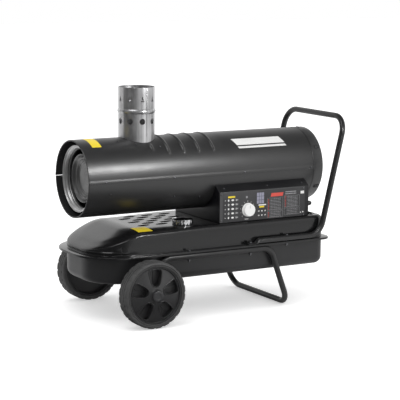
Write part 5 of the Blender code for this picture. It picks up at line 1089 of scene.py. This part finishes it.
box = block((BOX_X, -BOX_Y, BOX_Z), (BOX_END, BOX_Y, 0.4252))
for side in (-1, 1):
    cut = cut_plane(box, (0, side * BOX_Y, WALL_TOP), roof_normal(side), clear_outer=True)
    bmesh.ops.contextual_create(box, geom=[e for e in cut["geom_cut"] if isinstance(e, bmesh.types.BMEdge)])
bmesh.ops.recalc_face_normals(box, faces=box.faces)
bevel(box, [e for e in box.edges if not e.is_boundary and e.calc_face_angle(0) > 0.3], 0.0012, 3)
piece("box", carved(outward(box), drum_cutter(-0.1, 0.45)), box_paint, "control_box")

plate = block((BOX_X, PANEL_FACE, PANEL_Z), (PANEL_END, -0.1503, WALL_TOP), 0.0008)
spindle_hole = plug(0.0034, -0.16, -0.14, 24, (KNOB.x, 0, KNOB.z), "Y")
plate = carved(outward(plate), spindle_hole)
piece("faceplate", plate, panel_plastic, "control_panel")

# %% [markdown]
# ## Print on the panel
# The real panel carries drawings and tables. Nothing here spells or names anything: there
# are plain bars, rings and ruled fields, so the panel looks used at arm's length and says
# nothing. Each is a very thin raised film, grouped by colour.
# %% Panel print
FILM, LINE = 0.0002, 0.0005


def film(x0, z0, x1, z1, slant=0.0):
    """A thin bar on the panel's face, from corner to corner."""
    bm = block((x0, PANEL_FACE - FILM, z0), (x1, PANEL_FACE + 0.0001, z1))
    for vert in bm.verts:
        vert.co.x += slant * (vert.co.z - z0)
    return bm


def blob(x, z, wide, tall, hole=0.0):
    """A round or oval mark on the panel's face."""
    bm = lathe([(hole / 2, 0.0), (0.5, 0.0), (0.5, FILM), (hole / 2, FILM)], 20, axis="-Y", closed=bool(hole))
    bmesh.ops.scale(bm, vec=(wide, 1.0, tall), verts=bm.verts)
    bmesh.ops.translate(bm, vec=(x, PANEL_FACE, z), verts=bm.verts)
    return bm


def frame_of(x0, z0, x1, z1):
    """The four lines of a ruled field."""
    low, high = z0 + LINE, z1 - LINE
    return [film(x0, z0, x1, low), film(x0, high, x1, z1),
            film(x0, low, x0 + LINE, high), film(x1 - LINE, low, x1, high)]


def words(x0, z0, x1, z1, count, thick=0.0012):
    """Rows of short bars, as small print looks when it can't be read; the lengths follow a rule."""
    made = []
    for row in range(count):
        x, z = x0, z1 - (z1 - z0) * (row + 0.75) / count
        for word in range(40):
            wide = 0.0024 + 0.0012 * ((row * 5 + word * 3) % 5)
            if x + wide > x1:
                break
            made.append(film(x, z, x + wide, z + thick))
            x += wide + 0.0011
    return made


white, grey = [], []
for row in range(5):
    z = 0.3755 - 0.0147 * row
    white += [blob(0.017, z, 0.0028, 0.0028), blob(0.03, z, 0.0055, 0.0075, 0.55 if row % 2 else 0.0),
              blob(0.046, z, 0.0105, 0.0062), film(0.0585, z - 0.003, 0.0605, z + 0.003)]
    grey += [film(0.0625, z - 0.0022, 0.067, z + 0.0022)]
grey.append(blob(0.101, 0.382, 0.0075, 0.0075, 0.3))
white.append(film(0.094, 0.3068, 0.108, 0.3086))
for tick in range(11):
    turn = math.radians(-135 + 27 * tick)
    mark = film(-0.0005, 0.026, 0.0005, 0.0295 if tick % 5 else 0.031)
    bmesh.ops.rotate(mark, cent=(0, 0, 0), matrix=Matrix.Rotation(turn, 3, "Y"), verts=mark.verts)
    bmesh.ops.translate(mark, vec=(KNOB.x, 0, KNOB.z), verts=mark.verts)
    white.append(mark)
white.append(film(0.148, 0.3495, 0.178, 0.3535))
for column in range(3):
    for row in range(2):
        white.append(blob(0.149 + 0.0125 * column, 0.331 - 0.0145 * row, 0.0052, 0.0045,
                          0.0 if column == 1 else 0.5))
for field in ((0.183, 0.33, 0.245, 0.3725), (0.251, 0.336, 0.313, 0.3755),
              (0.183, 0.305, 0.245, 0.3275), (0.251, 0.31, 0.313, 0.333)):
    grey += frame_of(*field)
for lines in ((0.193, 0.331, 0.243, 0.3715, 8), (0.261, 0.337, 0.311, 0.3745, 8),
              (0.193, 0.306, 0.243, 0.3265, 4), (0.261, 0.311, 0.311, 0.332, 4),
              (0.255, 0.3785, 0.306, 0.392, 2, 0.0034)):
    grey += words(*lines)
white += [film(0.317, 0.3785, 0.331, 0.388), blob(0.3185, 0.314, 0.004, 0.004),
          blob(0.3275, 0.315, 0.005, 0.005)]
lilac = [film(0.141 + 0.0098 * c, 0.3565 + 0.0128 * r, 0.1495 + 0.0098 * c, 0.368 + 0.0128 * r)
         for c in range(3) for r in range(3)]
yellow = [film(0.028, 0.3835, 0.055, 0.3892), film(0.151, 0.3425, 0.17, 0.348)]
red = [film(0.196, 0.3765, 0.244, 0.3885, 0.25)]
for x, z, count in ((0.1855, 0.331, 8), (0.2535, 0.337, 8), (0.1855, 0.306, 4)):
    red += [film(x, z + 0.0015 + 0.0049 * line, x + 0.0045, z + 0.0028 + 0.0049 * line)
            for line in range(count)]
margin = [film(-0.0036, 0.3022, 0.0072, 0.4035), film(0.0072, 0.4005, 0.3345, 0.4035)]
for name, marks, finish in (("white", white, white_print), ("grey", grey, grey_print),
                            ("lilac", lilac, blue_grey_print), ("yellow", yellow, yellow_film),
                            ("red", red, red_print), ("margin", margin, margin_print)):
    piece("panel_" + name + "_marks", outward(gather(*marks)), finish, sharp=38)

# %% [markdown]
# ## Knob, cable gland and fuel cap
# These three are what a hand touches. The knob has shallow grip flutes and a pointer, the
# gland a hexagon and a ribbed nose, and the cap a knurled edge. Flutes and knurls come from
# moving every second column of a turned shape.
# %% Small turned parts


def fluted(bm, centre, axis, low, high, radius, columns, depth=0.0006):
    """Push alternate columns of a turned shape inwards between two stations on its axis."""
    side = axis.orthogonal().normalized()
    for vert in bm.verts:
        away = Vector(vert.co) - Vector(centre)
        along = away.dot(axis)
        spoke = away - axis * along
        column = round(math.atan2(spoke.dot(axis.cross(side)), spoke.dot(side)) / (2 * math.pi) * columns)
        if low <= along <= high and spoke.length > radius and column % 2 == 0:
            vert.co -= spoke.normalized() * depth
    return bm


knob = lathe([(0.0, 0.014), (0.003, 0.014), (0.003, -0.0003), (0.0222, -0.0003), (0.023, -0.001),
              (0.023, -0.003), (0.0222, -0.0042), (0.0212, -0.0052), (0.021, -0.014), (0.0203, -0.0155),
              (0.0188, -0.0163), (0.015, -0.0162), (0.0, -0.0158)], 96, KNOB, "Y")
fluted(knob, KNOB, Vector((0, 1, 0)), -0.0145, -0.005, 0.0205, 48)
piece("knob", knob, knob_plastic, "thermostat_knob", body="knob")
pointer = block((-0.0006, -0.0164, 0.006), (0.0006, -0.0159, 0.0175), 0.0002, 1)
bmesh.ops.translate(pointer, vec=KNOB, verts=pointer.verts)
piece("knob_pointer", outward(pointer), grey_print, sharp=38, body="knob")

GLAND, CORD_R = (0.0, -0.125, 0.338), 0.0045
hexagon = lathe([(CORD_R, 0.3523), (0.01, 0.3523), (0.0105, 0.353), (0.0105, 0.359), (0.0098, 0.36),
                 (CORD_R, 0.36)], 6, GLAND, "X", closed=True)
ribs = [(0.008 - 0.0008 * (k % 2), 0.3605 + 0.0016 * k) for k in range(9)]
gland_nose = lathe([(CORD_R, 0.342), (0.0078, 0.342), (0.0078, 0.36)] + ribs
                   + [(0.007, 0.3755), (0.0058, 0.378), (CORD_R, 0.378)], 40, GLAND, "X", closed=True)
piece("gland", gather(hexagon, gland_nose), black_plastic, "cable_gland")

FOOT, NECK_IN, NECK_OUT = FLANGE_Z + 0.0045, 0.0235, 0.0255
foot = [(NECK_IN, FOOT), (0.034, FOOT), (0.034, FOOT + 0.002), (0.033, FOOT + 0.003),
        (0.0268, FOOT + 0.003), (NECK_OUT, FOOT + 0.0045)]
thread = [(NECK_OUT - 0.0004 * (k % 2), 0.288 + 0.0011 * k) for k in range(12)]
neck = lathe(foot + thread + [(NECK_OUT, 0.3024), (0.0253, 0.3036), (0.0246, 0.304), (0.0238, 0.3037),
                              (NECK_IN, 0.303)], 96, FILLER, closed=True)
piece("threaded_neck", neck, plated, "filler_neck")

CAP = Vector((*FILLER[:2], COVER_Z))
cap = lathe([(0.0, 0.0125), (0.0295, 0.0125), (0.0295, 0.0005), (0.0335, 0.0005), (0.0347, 0.0016),
             (0.035, 0.003), (0.035, 0.015), (0.0344, 0.0168), (0.033, 0.0178), (0.03, 0.0182),
             (0.015, 0.0184), (0.0, 0.0184)], 160, CAP)
fluted(cap, CAP, Vector((0, 0, 1)), 0.0029, 0.0151, 0.0345, 40)
piece("filler_cap", cap, chrome, "fuel_cap", body="cap")

# %% [markdown]
# ## Screws and clips
# Small fixings give scale. Each is a pan-head screw with a cross, made for its place and
# turned so that it stands square to the surface it holds.
# %% Screws


def screw(place, normal, radius, spin):
    """A pan head with a cross sunk in it."""
    arm, thin = radius * 0.62, radius * 0.13
    head = lathe([(0.0, -0.001), (radius, -0.001), (radius, 0.0004), (radius * 0.9, 0.0013),
                  (radius * 0.55, 0.0019), (0.0, 0.0021)], 20)
    cross = carved(block((-arm, -thin, 0.0007), (arm, thin, 0.004)),
                   block((-thin, -arm, 0.0007), (thin, arm, 0.004)), "UNION")
    turn = Vector(normal).to_track_quat("Z", "Y").to_matrix().to_4x4() @ Matrix.Rotation(spin, 4, "Z")
    return moved(carved(head, cross), Matrix.Translation(place) @ turn)


def on_drum(x, degrees, lift=0.0):
    """A place on the drum's wall, and the way the wall faces there."""
    turn = math.radians(degrees)
    normal = Vector((0.0, -math.cos(turn), math.sin(turn)))
    return Vector((x, 0, AXIS_Z)) + normal * (DRUM_R + lift), normal


spots = []
for x in (-0.411, -0.162, 0.108, 0.375):
    spots += [on_drum(x, 0.4, 0.0009), on_drum(x, 179.6, 0.0009)]
for x, degrees in ((-0.392, -18.0), (-0.154, -30.0), (-0.055, -35.0), (0.209, -20.0), (0.294, -21.0),
                   (0.402, 92.0), (-0.328, 70.0), (-0.272, 59.0), (-0.19, 52.0)):
    spots += [on_drum(x, degrees), on_drum(x, 180.0 - degrees)]
heads = [screw(place, normal, 0.0034, 0.5 + index * 0.7) for index, (place, normal) in enumerate(spots)]
for x in (0.02, 0.19, 0.33):
    for side in (-1, 1):
        heads.append(screw((x, side * 0.137, 0.4139), roof_normal(side), 0.003, x * 9))
for x, z in ((0.0025, 0.396), (0.0025, 0.308), (0.3295, 0.3975), (0.3295, 0.3055)):
    heads.append(screw((x, PANEL_FACE, z), (0, -1, 0), 0.0026, x * 5 + z * 9))
piece("screw_heads", gather(*heads), dark_bolt, sharp=38)

clips, along = [], Vector((1, 0, 0))
for degrees in (-33.0, 33.0, 147.0, 213.0):
    clip = block((-0.009, -0.006, -0.0006), (0.009, 0.006, 0.0022), 0.0007, 2)
    place, normal = on_drum(0.412, degrees)
    turn = Matrix((along, normal.cross(along), normal)).transposed().to_4x4()
    clips += [outward(moved(clip, Matrix.Translation(place) @ turn)),
              screw(place + normal * 0.0022, normal, 0.003, degrees)]
piece("guard_clips", gather(*clips), black_plastic, sharp=38)

# %% [markdown]
# ## Plain films on the drum and the cover
# Where the real one has printed film, this one has plain film of the same size: two white
# bars on the drum and bare yellow patches. The bars are bent to the drum by making them from
# an arc, so that they lie on the paint everywhere.
# %% Films


def drum_film(x0, x1, low, high, slant=0.0):
    """A thin patch on the drum between two angles."""
    stations = [(x0 + (x1 - x0) * k / 8, DRUM_R + 0.00025) for k in range(9)]
    bm = shell_of(low, high, stations, int(high - low))
    for vert in bm.verts:
        vert.co.x += slant * (angle_of(vert) - low) / (high - low)
    return sheet(bm, FILM, (0, 0, 1))


bars = drum_film(0.098, 0.288, 44.5, 58.0, -0.012), drum_film(0.102, 0.291, 38.5, 42.0, -0.004)
piece("drum_white_bars", gather(*bars), white_print, sharp=38)
piece("drum_yellow_patch", drum_film(-0.43, -0.397, 58.0, 96.0), yellow_film, sharp=38)
patch = block((-0.304, -0.146, COVER_Z - 0.0001), (-0.252, -0.086, COVER_Z + 0.0003), 0.0001, 1)
cut_across(patch, [SHOULDER + CROWN_STEP * ring - WALL_Y for ring in range(1, CROWN_RINGS + 1)], (0, 1, 0))
piece("cover_yellow_patch", outward(nosed(crowned(patch))), yellow_film, sharp=38)

# %% [markdown]
# ## Finishes on the solids that stay
# The pieces inside and the flange bolts keep their own solids. Each still gets a finish
# that suits what it is.
# %% Carried-over solids
flange_fixings = " ".join(f"{kind}_{row}_{side}" for kind in ("bolt", "nut")
                          for row in ("front", "middle", "rear") for side in ("left", "right"))
carried = {
    plated: "drain_plug motor_shaft fuel_pump_rotor axle",
    dark_bolt: flange_fixings,
    ring_steel: "exchanger_support_front exchanger_support_rear",
    inside_paint: "fuel_tank_lid motor_bracket",
    motor_grey: "fan_motor_housing",
    copper: "motor_stator",
    cast_alloy: "burner_head fuel_pump_body fuel_pump_cover",
    brass: "fuel_strainer fuel_pickup nozzle_line",
    black_plastic: "thermostat_body ignition_transformer flame_photocell fan",
    hose_rubber: "fuel_hose cap_seal",
    ceramic: "ignition_electrode",
    board_green: "control_board",
}
for finish, names in carried.items():
    for name in names.split():
        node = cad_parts[name]
        node.data.materials.clear()
        node.data.materials.append(finish.material)
print("solids with a finish:", sum(len(names.split()) for names in carried.values()))

low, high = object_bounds()
print("visual box:", [round(c, 4) for c in low], [round(c, 4) for c in high])
